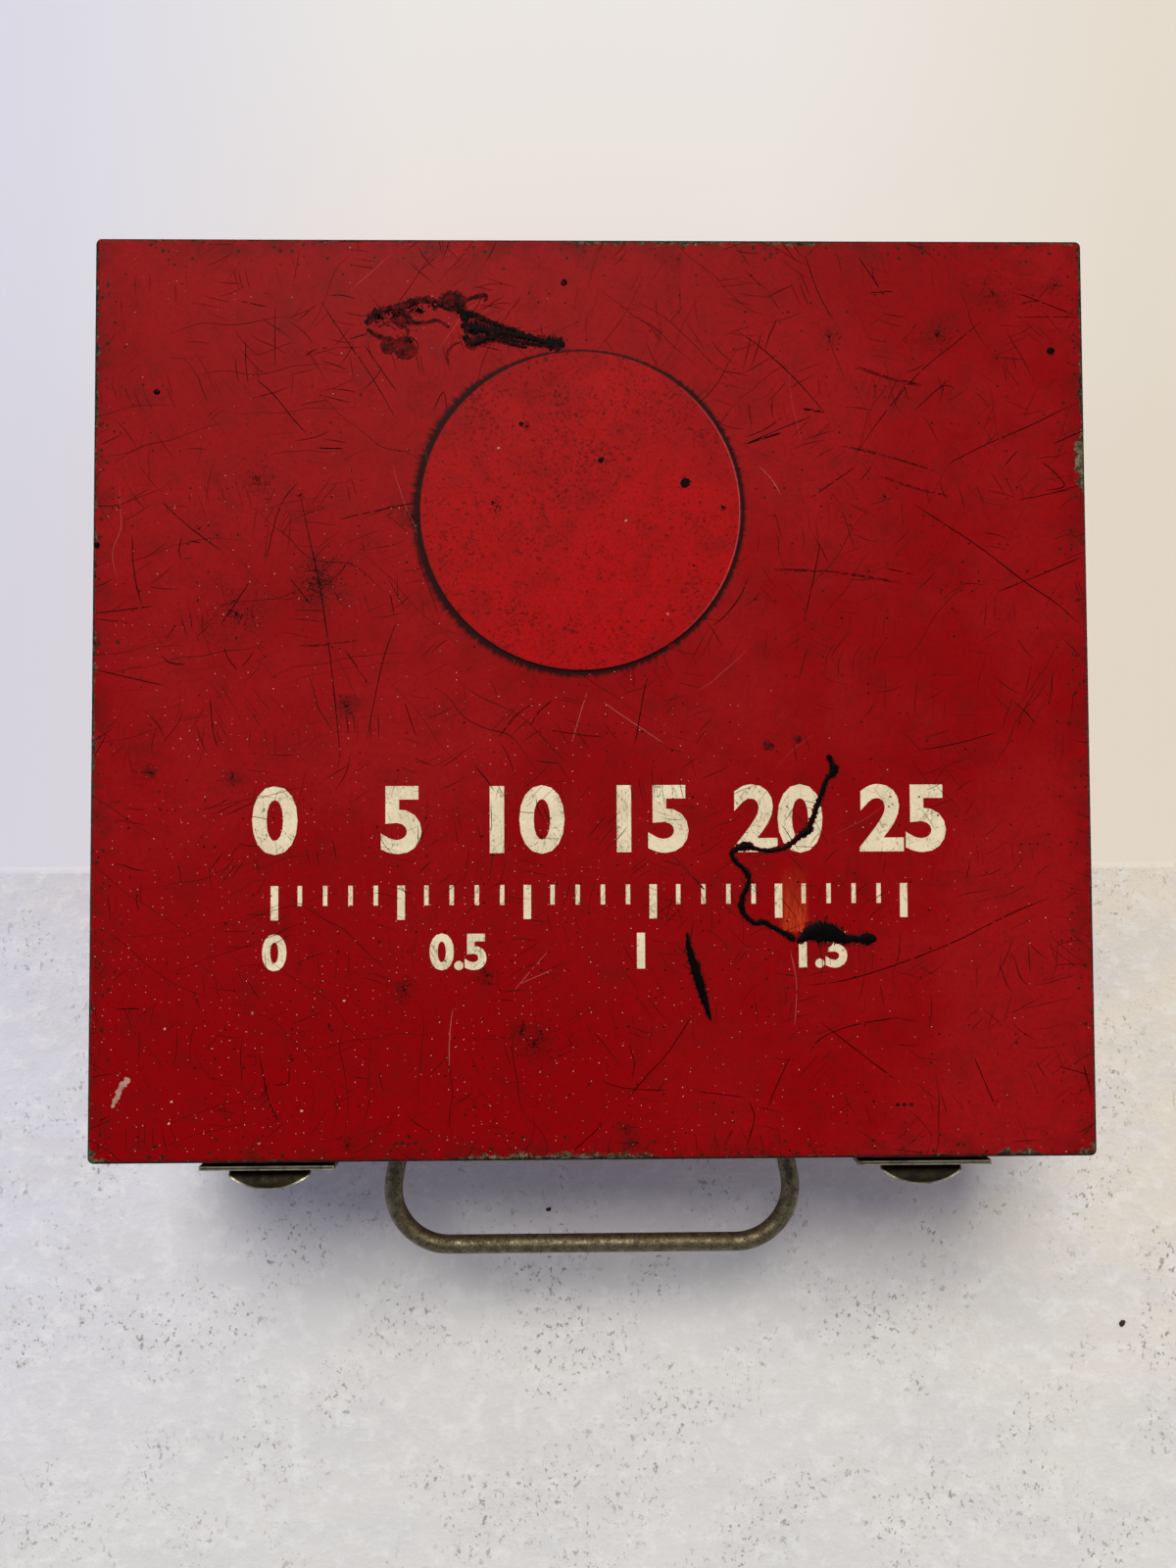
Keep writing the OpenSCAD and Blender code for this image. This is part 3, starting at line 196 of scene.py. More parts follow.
def drip_mesh(shape, points, z, rough, seed, flat, cap):
    """Adds a low rounded bead of uneven width along a path to a bmesh, its foot on height z. It is
    flat times its width high, and cap at most."""
    step, narrowest = 0.35, 0.12
    line = curve_through(points, step)
    dice = random.Random(seed)
    rows = []
    sway = 0.0
    for i, (x, y, width) in enumerate(line):
        a, b = line[max(i - 1, 0)], line[min(i + 1, len(line) - 1)]
        along = Vector((b[0] - a[0], b[1] - a[1], 0))
        along = along.normalized() if along.length else Vector((1, 0, 0))
        side = Vector((-along.y, along.x, 0))
        end = min(1.0, (min(i, len(line) - 1 - i) * step + narrowest) / max(width * 0.5, 0.15))
        half = max(width, narrowest) / 2 * math.sqrt(1 - (1 - end) ** 2)
        left = half * (1 + rough * dice.uniform(-1, 1))
        right = half * (1 + rough * dice.uniform(-1, 1))
        sway = 0.7 * sway + rough * 0.12 * dice.uniform(-1, 1)
        height = min(cap, flat * 2 * half)
        middle = Vector((x, y, z)) + side * sway
        shoulder = 0.75
        profile = ((-right, 0.0), (-shoulder * right, shoulder * height), (0.0, height),
                   (shoulder * left, shoulder * height), (left, 0.0))
        rows.append([shape.verts.new((middle + side * s + Vector((0, 0, h))) * MM) for s, h in profile])
    for low, high in zip(rows, rows[1:]):
        for k in range(4):
            shape.faces.new((low[k], low[k + 1], high[k + 1], high[k]))
    shape.faces.new(rows[0][::-1])
    shape.faces.new(rows[-1])


def blot_mesh(shape, x, y, radius, z, seed, height, uneven=0.15):
    """Adds one low domed blot with an uneven outline to a bmesh."""
    dice = random.Random(seed)
    count = 20
    waves = [(k, dice.uniform(0, 6.28), uneven * dice.uniform(0.4, 1) / k) for k in (2, 3, 5)]
    turns = [i * math.tau / count for i in range(count)]
    reach = [radius * (1 + sum(a * math.sin(k * t + p) for k, p, a in waves)) for t in turns]
    rings = []
    for share, lift in ((1.0, 0.0), (0.8, 0.6), (0.45, 0.92)):
        level = z + height * lift
        rings.append([shape.verts.new(Vector((x + r * share * math.cos(t), y + r * share * math.sin(t), level)) * MM)
                      for t, r in zip(turns, reach)])
    top = shape.verts.new(Vector((x, y, z + height)) * MM)
    for outer, inner in zip(rings, rings[1:]):
        for i in range(count):
            shape.faces.new((outer[i], outer[(i + 1) % count], inner[(i + 1) % count], inner[i]))
    for i in range(count):
        shape.faces.new((rings[-1][i], rings[-1][(i + 1) % count], top))


def finished_mesh(name, shape, smooth=True):
    """Turns a bmesh into a mesh with its normals outward."""
    bmesh.ops.recalc_face_normals(shape, faces=shape.faces)
    mesh = bpy.data.meshes.new(name)
    shape.to_mesh(mesh)
    shape.free()
    for face in mesh.polygons:
        face.use_smooth = smooth
    return mesh


def numeral(shape, text, height, x, y, z, bold, thick):
    """Adds a printed numeral, centred on x and y with its underside on z, to a bmesh."""
    cap_share = 0.729  # height of a numeral in the built-in font, per unit of its size
    words = bpy.data.curves.new("numeral", "FONT")
    words.body, words.size = text, height / cap_share * MM
    words.align_x, words.align_y = "CENTER", "CENTER"
    words.offset, words.extrude, words.resolution_u = bold * MM, thick / 2 * MM, 4
    holder = bpy.data.objects.new("numeral", words)
    bpy.context.scene.collection.objects.link(holder)
    bpy.context.view_layer.update()
    mesh = bpy.data.meshes.new_from_object(holder.evaluated_get(bpy.context.evaluated_depsgraph_get()))
    spans = [[v.co[k] for v in mesh.vertices] for k in range(3)]
    middle = Vector([(min(span) + max(span)) / 2 for span in spans])
    mesh.transform(Matrix.Translation(Vector((x, y, z + thick / 2)) * MM - middle))
    shape.from_mesh(mesh)
    bpy.data.objects.remove(holder)
    bpy.data.curves.remove(words)
    bpy.data.meshes.remove(mesh)


def plate(shape, x, y, z, wide, tall, thick, turn=0.0):
    """Adds a thin printed bar to a bmesh, turned about its middle."""
    place = Matrix.Translation(Vector((x, y, z + thick / 2)) * MM) @ Matrix.Rotation(turn, 4, "Z")
    bmesh.ops.create_cube(shape, size=1.0, matrix=place @ Matrix.Diagonal((wide * MM, tall * MM, thick * MM, 1)))


# ---------- wear that the enamel and the print on it share ----------

# Angle, cell width and length in mm, thinness, share left out: each row lays needles one way.
# A needle is 2 x thinness of its cell: about 0.25 mm wide and 7 to 44 mm long
SCRATCHES = (
    (12, 2.0, 330, 0.058, 0.76), (57, 2.2, 260, 0.055, 0.74), (-38, 2.2, 420, 0.052, 0.76), (88, 2.4, 300, 0.050, 0.80),
    (-68, 2.6, 200, 0.050, 0.76), (-52, 1.6, 62, 0.078, 0.68), (22, 1.6, 58, 0.078, 0.70), (74, 1.7, 70, 0.075, 0.72),
    (-9, 1.2, 34, 0.110, 0.78), (44, 1.3, 36, 0.100, 0.80), (-80, 1.2, 30, 0.110, 0.80),
)
PALE_SCRATCHES = ((-82, 2.6, 330, 0.040, 0.93), (41, 2.4, 210, 0.042, 0.93))


def wear_group():
    """One node group with the wear of the paint: dark and pale scratches, dark and white specks, smudges, smear."""
    if "paint_wear" in bpy.data.node_groups:
        return bpy.data.node_groups["paint_wear"]
    tree = bpy.data.node_groups.new("paint_wear", "ShaderNodeTree")
    for label in ("Dark", "Pale", "Specks", "White specks", "Smudges", "Smear"):
        tree.interface.new_socket(label, in_out="OUTPUT", socket_type="NodeSocketFloat")
    ends = tree.nodes.new("NodeGroupOutput")
    mm = millimetres(tree)
    part = put(tree, "SeparateXYZ", (mm,)).node.outputs
    # Each wall is unrolled a little, so that needles and specks run on the sides too
    u = put(tree, "Math", (part[2], 0.73, part[0]), operation="MULTIPLY_ADD")
    v = put(tree, "Math", (part[2], 0.61, part[1]), operation="MULTIPLY_ADD")
    flat = put(tree, "CombineXYZ", (u, v, 0.0))
    waver = put(tree, "TexNoise", {"Vector": flat, "Scale": 1 / 40, "Detail": 2.0}, out="Color", noise_dimensions="2D")
    bent = put(tree, "VectorMath", (waver, (14.0, 14.0, 0.0), flat), operation="MULTIPLY_ADD")
    found = []
    for rows in (SCRATCHES, PALE_SCRATCHES):
        most = None
        for turn, width, reach, thin, leave in rows:
            cell = put(tree, "Mapping", {"Vector": bent, "Location": (turn * 1.7, turn * 3.1, 0.0),
                                         "Rotation": (0.0, 0.0, math.radians(turn)), "Scale": (reach, width, 1.0)},
                       vector_type="TEXTURE")
            spot = put(tree, "TexVoronoi", {"Vector": cell, "Scale": 1.0}, voronoi_dimensions="2D").node.outputs
            luck = put(tree, "SeparateColor", (spot["Color"],)).node.outputs
            line = overlap(tree, put(tree, "MapRange", (spot["Distance"], thin * 0.7, thin, 1.0, 0.0)),
                           put(tree, "MapRange", (luck[0], leave, leave + 0.02)),
                           put(tree, "MapRange", (luck[1], 0.0, 0.9, 0.32, 1.0)))
            most = line if most is None else put(tree, "Math", (most, line), operation="MAXIMUM")
        found.append(most)
    # Dark specks 0.2 to 0.7 mm across gather in clouds; white ones 0.12 to 0.26 mm lie mostly near and left
    cloud = put(tree, "TexNoise", {"Vector": flat, "Scale": 1 / 34, "Detail": 4.0, "Roughness": 0.6})
    crowd = put(tree, "MapRange", (cloud, 0.38, 0.68, 0.93, 0.42))
    far = put(tree, "Math", (put(tree, "MapRange", (part[1], -60.0, 60.0, 0.0, 0.29)),
                             put(tree, "MapRange", (part[0], -30.0, 90.0, 0.0, 0.26))), operation="ADD")
    sparse = put(tree, "Math", (far, 0.66), operation="ADD")
    for size, leave, least, most in ((2.4, crowd, 0.04, 0.14), (2.1, sparse, 0.028, 0.062)):
        spot = put(tree, "TexVoronoi", {"Vector": flat, "Scale": 1 / size}, voronoi_dimensions="2D").node.outputs
        luck = put(tree, "SeparateColor", (spot["Color"],)).node.outputs
        reach = put(tree, "MapRange", (put(tree, "Math", (luck[1], 3.0), operation="POWER"), 0.0, 1.0, least, most))
        found.append(overlap(tree, put(tree, "Math", (spot["Distance"], reach), operation="LESS_THAN"),
                             put(tree, "Math", (luck[0], leave), operation="GREATER_THAN")))
    # Rubbed-in grime: a coarse cloud broken up by fine grain
    patch = put(tree, "TexNoise", {"Vector": mm, "Scale": 1 / 17, "Detail": 8.0, "Roughness": 0.68})
    grain = put(tree, "TexNoise", {"Vector": mm, "Scale": 1 / 1.1, "Detail": 3.0, "Roughness": 0.7})
    found.append(overlap(tree, put(tree, "MapRange", (patch, 0.57, 0.76)),
                         put(tree, "MapRange", (grain, 0.38, 0.62, 0.1, 1.0))))
    # One orange rub mark, 7 mm wide and 17 mm long, streaked along Y
    streak = put(tree, "TexNoise", {"Vector": put(tree, "VectorMath", (mm, (1.6, 0.22, 1.0)), operation="MULTIPLY"),
                                    "Scale": 1.0, "Detail": 4.0, "Roughness": 0.7})
    found.append(overlap(tree, near(tree, part[0], 50.6, 2.2, 1.7),
                         put(tree, "MapRange", (part[1], -61.0, -60.0)),
                         put(tree, "MapRange", (part[1], -57.3, -43.4, 1.0, 0.0)),
                         put(tree, "MapRange", (streak, 0.36, 0.62, 0.25, 1.0)),
                         put(tree, "MapRange", (part[2], LID_TOP - 1, LID_TOP - 0.5))))
    for socket, value in zip(ends.inputs, found):
        tree.links.new(value, socket)
    return tree


def edge_distance(tree):
    """Distance in mm from a point on the case's faces to the nearest fold or rim."""
    part = put(tree, "SeparateXYZ", (millimetres(tree),)).node.outputs
    x = put(tree, "Math", (CASE_HIGH.x, put(tree, "Math", (part[0],), operation="ABSOLUTE")), operation="SUBTRACT")
    y = put(tree, "Math", (CASE_HIGH.y, put(tree, "Math", (part[1],), operation="ABSOLUTE")), operation="SUBTRACT")
    top = put(tree, "Math", (LID_TOP, part[2]), operation="SUBTRACT")
    rim = put(tree, "Math", (part[2], CASE_HIGH.z + 0.2), operation="SUBTRACT")
    rim = put(tree, "Math", (rim,), operation="ABSOLUTE")
    z = put(tree, "Math", (put(tree, "Math", (top, rim), operation="MINIMUM"), part[2]), operation="MINIMUM")
    low = put(tree, "Math", (x, y), operation="MINIMUM")
    high = put(tree, "Math", (x, y), operation="MAXIMUM")
    return put(tree, "Math", (low, put(tree, "Math", (high, z), operation="MINIMUM")), operation="MAXIMUM")


# Where folds and rims are rubbed down most: the axis across the edge (0 is x, 1 is y) and the edge's place on it, then
# the middle, half length and soft border of the rubbed stretch, all in mm, and how much wider the bare strip is there
RUBBED_EDGES = (
    (1, CASE_LOW.y, -8.3, 21.0, 4.0, 1.1), (1, CASE_LOW.y, 106.3, 3.0, 3.0, 1.1),
    (1, CASE_HIGH.y, 28.0, 34.0, 3.0, 0.7), (1, CASE_HIGH.y, 116.0, 9.0, 3.0, 0.45),
    (1, CASE_LOW.y, CASE_LOW.x, 3.5, 3.0, 1.5), (1, CASE_LOW.y, CASE_HIGH.x, 3.5, 3.0, 1.2),
    (0, CASE_HIGH.x, 58.8, 6.0, 3.0, 1.1), (0, CASE_HIGH.x, 84.0, 26.0, 8.0, 0.45),
    (0, CASE_LOW.x, 40.0, 62.0, 14.0, 0.4),
)


def rubbed_steel(tree, mm, part, edge):
    """Folds and rims rubbed down to brown steel, widest at the middle of the near edge and at the
    corners: the share that is bare, and the steel's colour."""
    lip = put(tree, "MapRange", (part[2], LID_TOP - 7, LID_TOP - 2, 0.15, 1.0))
    more = 0.0
    for axis, rim, middle, half, soft, amount in RUBBED_EDGES:
        worn = overlap(tree, near(tree, part[axis], rim, 3.0, 2.0), near(tree, part[1 - axis], middle, half, soft),
                       amount)
        more = put(tree, "Math", (worn, more), operation="ADD")
    more = overlap(tree, more, lip)
    chips = put(tree, "TexNoise", {"Vector": mm, "Scale": 1 / 4, "Detail": 6.0, "Roughness": 0.8})
    width = overlap(tree, put(tree, "Math", (more, 0.7), operation="ADD"),
                    put(tree, "MapRange", (chips, 0.36, 0.70, 0.35, 1.9)))
    bare = put(tree, "MapRange", (put(tree, "Math", (edge, width), operation="SUBTRACT"), -0.15, 0.25, 1.0, 0.0))
    tone = put(tree, "TexNoise", {"Vector": mm, "Scale": 1 / 1.3, "Detail": 4.0, "Roughness": 0.75})
    tone = put(tree, "Math", (more, 0.06, tone), operation="MULTIPLY_ADD")
    steel = put(tree, "ValToRGB", (tone,), stops=((0.40, linear("#1A110B")), (0.55, linear("#3A2F1F")),
                                                   (0.68, linear("#6B634C")), (0.80, linear("#8F886F"))))
    return bare, steel


def soft_grime(tree, part, fine, mottle):
    """Brown grime that lies softly under the larger patches of grains."""
    smallest = 3.0
    place, stain = put(tree, "CombineXYZ", (part[0], part[1], 0.0)), 0.0
    for x, y, reach, close in SMUDGES:
        if reach >= smallest:
            off = put(tree, "VectorMath", (place, (x, y, 0.0)), out="Value", operation="DISTANCE")
            here = put(tree, "MapRange", (off, 0.0, reach, close, 0.0))
            stain = put(tree, "Math", (here, stain), operation="MAXIMUM")
    return overlap(tree, stain, put(tree, "MapRange", (fine, 0.36, 0.60, 0.25, 1.3)),
                   put(tree, "MapRange", (mottle, 0.38, 0.56, 0.4, 1.3)))


def edge_crumbs(tree, mm, edge):
    """Brown specks that crowd within 9 mm of the edges."""
    spot = put(tree, "TexVoronoi", {"Vector": mm, "Scale": 1 / 1.5}).node.outputs
    luck = put(tree, "SeparateColor", (spot["Color"],)).node.outputs
    leave = put(tree, "MapRange", (edge, 0.3, 9.0, 0.52, 1.0))
    reach = put(tree, "MapRange", (luck[1], 0.0, 1.0, 0.14, 0.38))
    return overlap(tree, put(tree, "Math", (luck[0], leave), operation="GREATER_THAN"),
                   put(tree, "Math", (spot["Distance"], reach), operation="LESS_THAN"))


def baked_enamel(name, plain, reflection_red, disc):
    """Stoved enamel on sheet steel, sprayed: a satin film with a faint orange peel, paler and greyer to the
    far and right as a painted reflection, rougher there where handling dulled it, with dark scratches to
    the primer, specks, brown folds where it wore off, and painted shade along the case's folds."""
    material, tree = blank(name)
    mm = millimetres(tree)
    wear = put(tree, "Group", node_tree=wear_group()).node.outputs
    part = put(tree, "SeparateXYZ", (mm,)).node.outputs
    top = put(tree, "MapRange", (part[2], LID_TOP - 1, LID_TOP - 0.5))
    # Distance from the disc's middle, and a noise that runs round it for hairy borders
    dx = put(tree, "Math", (part[0], DISC_MIDDLE[0]), operation="SUBTRACT")
    dy = put(tree, "Math", (part[1], DISC_MIDDLE[1]), operation="SUBTRACT")
    away = put(tree, "VectorMath", (put(tree, "CombineXYZ", (dx, dy, 0.0)),), out="Value", operation="LENGTH")
    turn = put(tree, "Math", (put(tree, "Math", (dy, dx), operation="ARCTAN2"), 30.0), operation="MULTIPLY")
    hairs = put(tree, "TexNoise", {"W": turn, "Scale": 1.0, "Detail": 4.0, "Roughness": 0.8}, noise_dimensions="1D")
    # The far and right parts are painted paler and greyer as a painted reflection of the bright room, and made a little
    # rougher for the dulling of handling; the near middle keeps its depth
    blotch = put(tree, "TexNoise", {"Vector": mm, "Scale": 1 / 60, "Detail": 5.0, "Roughness": 0.62})
    right = put(tree, "MapRange", (part[0], 0.0, 90.0))
    far = put(tree, "MapRange", (part[1], -85.0, 90.0 if disc else -5.0))
    ramp = put(tree, "Math", (right, far), operation="MAXIMUM")
    reflection_haze = overlap(tree, ramp, put(tree, "MapRange", (blotch, 0.38, 0.58, 0.15, 1.15)))
    fine = put(tree, "TexNoise", {"Vector": mm, "Scale": 1 / 0.9, "Detail": 4.0, "Roughness": 0.75})
    mottle = put(tree, "TexNoise", {"Vector": mm, "Scale": 1 / 9, "Detail": 7.0, "Roughness": 0.7})
    colour = coats(tree, plain, (reflection_haze, 1.0, reflection_red),
                   (put(tree, "MapRange", (fine, 0.46, 0.72)), 0.42, "#5C0404"),
                   (put(tree, "MapRange", (mottle, 0.48, 0.70)), 0.40, "#5E0D0D"))
    dulled = [(wear["Smudges"], 0.15), (wear["Dark"], 0.2)]
    if disc:
        # Fine worm-like specks, closest in the upper middle, and a painted highlight along its right rim
        worms = put(tree, "TexNoise", {"Vector": mm, "Scale": 1 / 0.95, "Detail": 3.0, "Roughness": 0.75,
                                       "Distortion": 0.6})
        cloud = put(tree, "TexNoise", {"Vector": mm, "Scale": 1 / 16, "Detail": 4.0, "Roughness": 0.6})
        crowd = put(tree, "Math", (put(tree, "MapRange", (cloud, 0.35, 0.65, 0.045, -0.03)),
                                   put(tree, "MapRange", (dy, 25.0, -40.0, 0.0, 0.022))), operation="ADD")
        worms = put(tree, "MapRange", (put(tree, "Math", (worms, crowd), operation="SUBTRACT"), 0.565, 0.585))
        inner = put(tree, "Math", (DISC_RADIUS, away), operation="SUBTRACT")
        painted_rim_highlight = overlap(tree, near(tree, inner, 0.45, 0.05, 0.12), put(tree, "MapRange", (dx, 24.0, 36.0)))
        reach = put(tree, "MapRange", (hairs, 0.3, 0.8, 0.15, 0.7))
        rim_ring = overlap(tree, put(tree, "MapRange", (inner, 0.05, reach, 1.0, 0.0)), top)
        colour = coats(tree, colour, (worms, 0.66, "#3A0505"), (wear["Specks"], 0.7, "#2A0605"),
                       (wear["White specks"], 0.35, "#E08070"), (wear["Dark"], 0.10, "#3A0606"), (painted_rim_highlight, 0.22, "#D58A80"),
                       (rim_ring, 0.9, "#24100F"))
    else:
        # A dark ring lies against the disc's rim: thin and broken above it, thick and hairy below
        reach = overlap(tree, put(tree, "MapRange", (dx, -DISC_RADIUS, DISC_RADIUS, 2.5, 1.35)),
                        put(tree, "MapRange", (dy, 0.75 * DISC_RADIUS, DISC_RADIUS, 1.0, 0.34)),
                        put(tree, "MapRange", (hairs, 0.30, 0.70, 0.6, 1.35)))
        rim = put(tree, "Math", (away, DISC_RADIUS), operation="SUBTRACT")
        rim = put(tree, "Math", (rim, reach), operation="DIVIDE")
        rim_ring = overlap(tree, put(tree, "MapRange", (rim, 0.55, 1.15, 1.0, 0.0)), top)
        edge = edge_distance(tree)
        bare, steel = rubbed_steel(tree, mm, part, edge)
        dulled.append((bare, 0.18))
        film = overlap(tree, put(tree, "MapRange", (edge, 0.5, 6.5, 1.0, 0.0)),
                       put(tree, "MapRange", (mottle, 0.40, 0.62)), top)
        stain = overlap(tree, soft_grime(tree, part, fine, mottle), top)
        # Painted shade: a dark line within 1 mm of every fold and rim stands for the shade where the sheet turns away,
        # with some grime caught there
        fold_shade_and_grime = put(tree, "MapRange", (edge, 0.45, 1.0, 1.0, 0.0))
        colour = coats(tree, colour, (wear["Smudges"], 0.45, "#3C100D"), (stain, 0.85, "#340D0A"),
                       (film, 0.6, "#4A100C"), (wear["Smear"], 0.62, "#CE4A20"), (rim_ring, 0.95, "#180908"),
                       (wear["Dark"], 0.9, "#1E0504"), (wear["Pale"], 0.22, "#C9877C"),
                       (wear["Specks"], 0.9, "#260A08"), (wear["White specks"], 0.7, "#E4BFB2"),
                       (edge_crumbs(tree, mm, edge), 0.85, "#2B1710"), (bare, 1.0, steel), (fold_shade_and_grime, 0.9, "#150C08"))
    rough = put(tree, "MapRange", (reflection_haze, 0.0, 1.0, 0.42, 0.50))
    for share, extra in dulled:
        rough = put(tree, "Math", (share, extra, rough), operation="MULTIPLY_ADD")
    # Orange peel of about 1 mm and shallow dents of several cm in the sheet, cut by the scratches
    peel = put(tree, "TexNoise", {"Vector": mm, "Scale": 1 / 1.3, "Detail": 2.0})
    dents = put(tree, "TexNoise", {"Vector": mm, "Scale": 1 / 45, "Detail": 2.0})
    relief = put(tree, "Math", (peel, 0.12), operation="MULTIPLY")
    relief = put(tree, "Math", (dents, 6.0, relief), operation="MULTIPLY_ADD")
    relief = put(tree, "Math", (wear["Dark"], -0.5, relief), operation="MULTIPLY_ADD")
    return shaded(material, {"Base Color": colour, "Roughness": rough, "IOR": 1.5, "Specular IOR Level": 0.04,
                             "Normal": put(tree, "Bump", {"Height": relief, "Strength": 0.25, "Distance": 0.0001})})


def screen_print(name, cream):
    """Cream ink screened on enamel: flat and matt, cut by the same scratches as the paint under it."""
    material, tree = blank(name)
    mm = millimetres(tree)
    wear = put(tree, "Group", node_tree=wear_group()).node.outputs
    tint = put(tree, "TexNoise", {"Vector": mm, "Scale": 1 / 9, "Detail": 6.0, "Roughness": 0.7})
    grain = put(tree, "TexNoise", {"Vector": mm, "Scale": 1 / 0.8, "Detail": 4.0, "Roughness": 0.8})
    # Hairlines where the ink cracked and was rubbed, 0.2 mm wide
    bend = put(tree, "TexNoise", {"Vector": put(tree, "VectorMath", (mm, (1.0, 0.6, 1.0)), operation="MULTIPLY"),
                                  "Scale": 1 / 7, "Detail": 3.0, "Roughness": 0.6, "Distortion": 0.8})
    cracks = overlap(tree, near(tree, bend, 0.5, 0.004, 0.010), put(tree, "MapRange", (grain, 0.42, 0.56)))
    rubs = overlap(tree, near(tree, bend, 0.43, 0.003, 0.008), put(tree, "MapRange", (tint, 0.45, 0.55)))
    colour = coats(tree, cream, (put(tree, "MapRange", (tint, 0.35, 0.68)), 1.0, "#D2C2A0"),
                   (put(tree, "MapRange", (grain, 0.52, 0.68)), 0.55, "#A29576"), (cracks, 0.75, "#6E6149"),
                   (rubs, 0.6, "#7A6A50"), (wear["Smear"], 0.7, "#D9703A"), (wear["Smudges"], 0.6, "#8A7A5C"),
                   (wear["Dark"], 1.0, "#4E4230"), (wear["Specks"], 0.8, "#43362A"))
    bump = put(tree, "Bump", {"Height": wear["Dark"], "Strength": 0.3, "Distance": 0.0001}, invert=True)
    return shaded(material, {"Base Color": colour, "Roughness": put(tree, "MapRange", (tint, 0.3, 0.7, 0.5, 0.62)),
                             "Specular IOR Level": 0.25, "Normal": bump})


def bitumen(name, dark, worn, share_low, share_high):
    """Dried tar: thick and near black with a dull sheen where whole, matt and reddish where it was
    picked off. The two shares set how much of it is worn: the lower, the more."""
    material, tree = blank(name)
    mm = millimetres(tree)
    patch = put(tree, "TexNoise", {"Vector": mm, "Scale": 1 / 1.8, "Detail": 5.0, "Roughness": 0.7})
    share = put(tree, "MapRange", (patch, share_low, share_high))
    lumps = put(tree, "TexNoise", {"Vector": mm, "Scale": 1 / 0.7, "Detail": 3.0, "Roughness": 0.6})
    return shaded(material, {"Base Color": coats(tree, dark, (share, 1.0, worn)), "Specular IOR Level": 0.02,
                             "Roughness": put(tree, "MapRange", (share, 0.0, 1.0, 0.42, 0.65)),
                             "Normal": put(tree, "Bump", {"Height": lumps, "Strength": 0.5, "Distance": 0.0003})})


# ---------- metals, rubber, plastics and glass ----------

def metal(name, bright, tarnish, rim_ring, roughness, grime, cell, brushed=0.0, worn_edges=0.0, metallic=0.9):
    """A metal with its tarnish in blotches of a cell's size in mm, grime in small spots and, where
    asked, brushing lines or edges that were rubbed bright within a radius in mm."""
    material, tree = blank(name)
    mm = millimetres(tree)
    blotch = put(tree, "TexNoise", {"Vector": mm, "Scale": 1 / cell, "Detail": 6.0, "Roughness": 0.68})
    share = put(tree, "MapRange", (blotch, 0.38, 0.64))
    spots = put(tree, "TexNoise", {"Vector": mm, "Scale": 1 / (cell * 0.24), "Detail": 4.0, "Roughness": 0.75})
    spots = put(tree, "MapRange", (spots, 0.66 - 0.18 * grime, 0.76 - 0.12 * grime))
    colour = coats(tree, bright, (share, 1.0, tarnish), (spots, 0.35 + 0.5 * grime, rim_ring))
    rough = put(tree, "MapRange", (share, 0.0, 1.0, roughness, min(roughness + 0.16, 1.0)))
    if worn_edges:
        soft = put(tree, "Bevel", {"Radius": worn_edges * MM}, samples=6)
        true = put(tree, "NewGeometry", out="Normal")
        bend = put(tree, "VectorMath", (soft, true), out="Value", operation="DOT_PRODUCT")
        rub = overlap(tree, put(tree, "MapRange", (bend, 0.992, 0.93)),
                      put(tree, "MapRange", (blotch, 0.34, 0.52, 0.35, 1.0)))
        colour = coats(tree, colour, (rub, 0.9, "#C4BBA0"))
        rough = put(tree, "Math", (rub, -0.12, rough), operation="MULTIPLY_ADD")
    height = spots
    if brushed:
        along = put(tree, "VectorMath", (mm, (brushed, 6.0, 6.0)), operation="MULTIPLY")
        lines = put(tree, "TexNoise", {"Vector": along, "Scale": 1.0, "Detail": 2.0})
        height = put(tree, "Math", (spots, 0.3), operation="MULTIPLY")
        height = put(tree, "Math", (lines, 0.4, height), operation="MULTIPLY_ADD")
        rough = put(tree, "Math", (lines, 0.12, rough), operation="MULTIPLY_ADD")
    return shaded(material, {"Base Color": colour, "Roughness": rough, "Metallic": metallic,
                             "Normal": put(tree, "Bump", {"Height": height, "Strength": 0.25, "Distance": 0.00012})})


def moulded(name, plain, rubbed, roughness, grain, ior=1.5, depth=0.3):
    """A moulded or sprayed part: one colour that greys a little where hands rub it, with a fine grain in mm."""
    material, tree = blank(name)
    mm = millimetres(tree)
    wear = put(tree, "TexNoise", {"Vector": mm, "Scale": 1 / 12, "Detail": 6.0, "Roughness": 0.7})
    share = put(tree, "MapRange", (wear, 0.40, 0.72))
    rough = put(tree, "MapRange", (share, 0.0, 1.0, roughness, min(1.0, roughness + 0.18)))
    skin = put(tree, "TexNoise", {"Vector": mm, "Scale": 1 / grain, "Detail": 3.0, "Roughness": 0.6})
    return shaded(material, {"Base Color": coats(tree, plain, (share, 1.0, rubbed)), "Roughness": rough, "IOR": ior,
                             "Normal": put(tree, "Bump", {"Height": skin, "Strength": depth, "Distance": 0.0001})})


def wrapped_rubber(name, black):
    """Wrapped and cured hose rubber: matt black with the cloth's fine print and a dusty bloom."""
    material, tree = blank(name)
    mm = millimetres(tree)
    bloom = put(tree, "TexNoise", {"Vector": mm, "Scale": 1 / 18, "Detail": 6.0, "Roughness": 0.7})
    bloom = put(tree, "MapRange", (bloom, 0.42, 0.7, 0.0, 0.5))
    lie = put(tree, "Mapping", {"Vector": mm, "Rotation": (0.6, 0.6, 0.8)})
    weave = put(tree, "TexWave", {"Vector": lie, "Scale": 0.55, "Distortion": 0.6, "Detail": 1.0}, out="Fac")
    return shaded(material, {"Base Color": coats(tree, black, (bloom, 1.0, "#4A4844")),
                             "Roughness": put(tree, "MapRange", (bloom, 0.0, 0.5, 0.5, 0.75)),
                             "Normal": put(tree, "Bump", {"Height": weave, "Strength": 0.25, "Distance": 0.0002})})


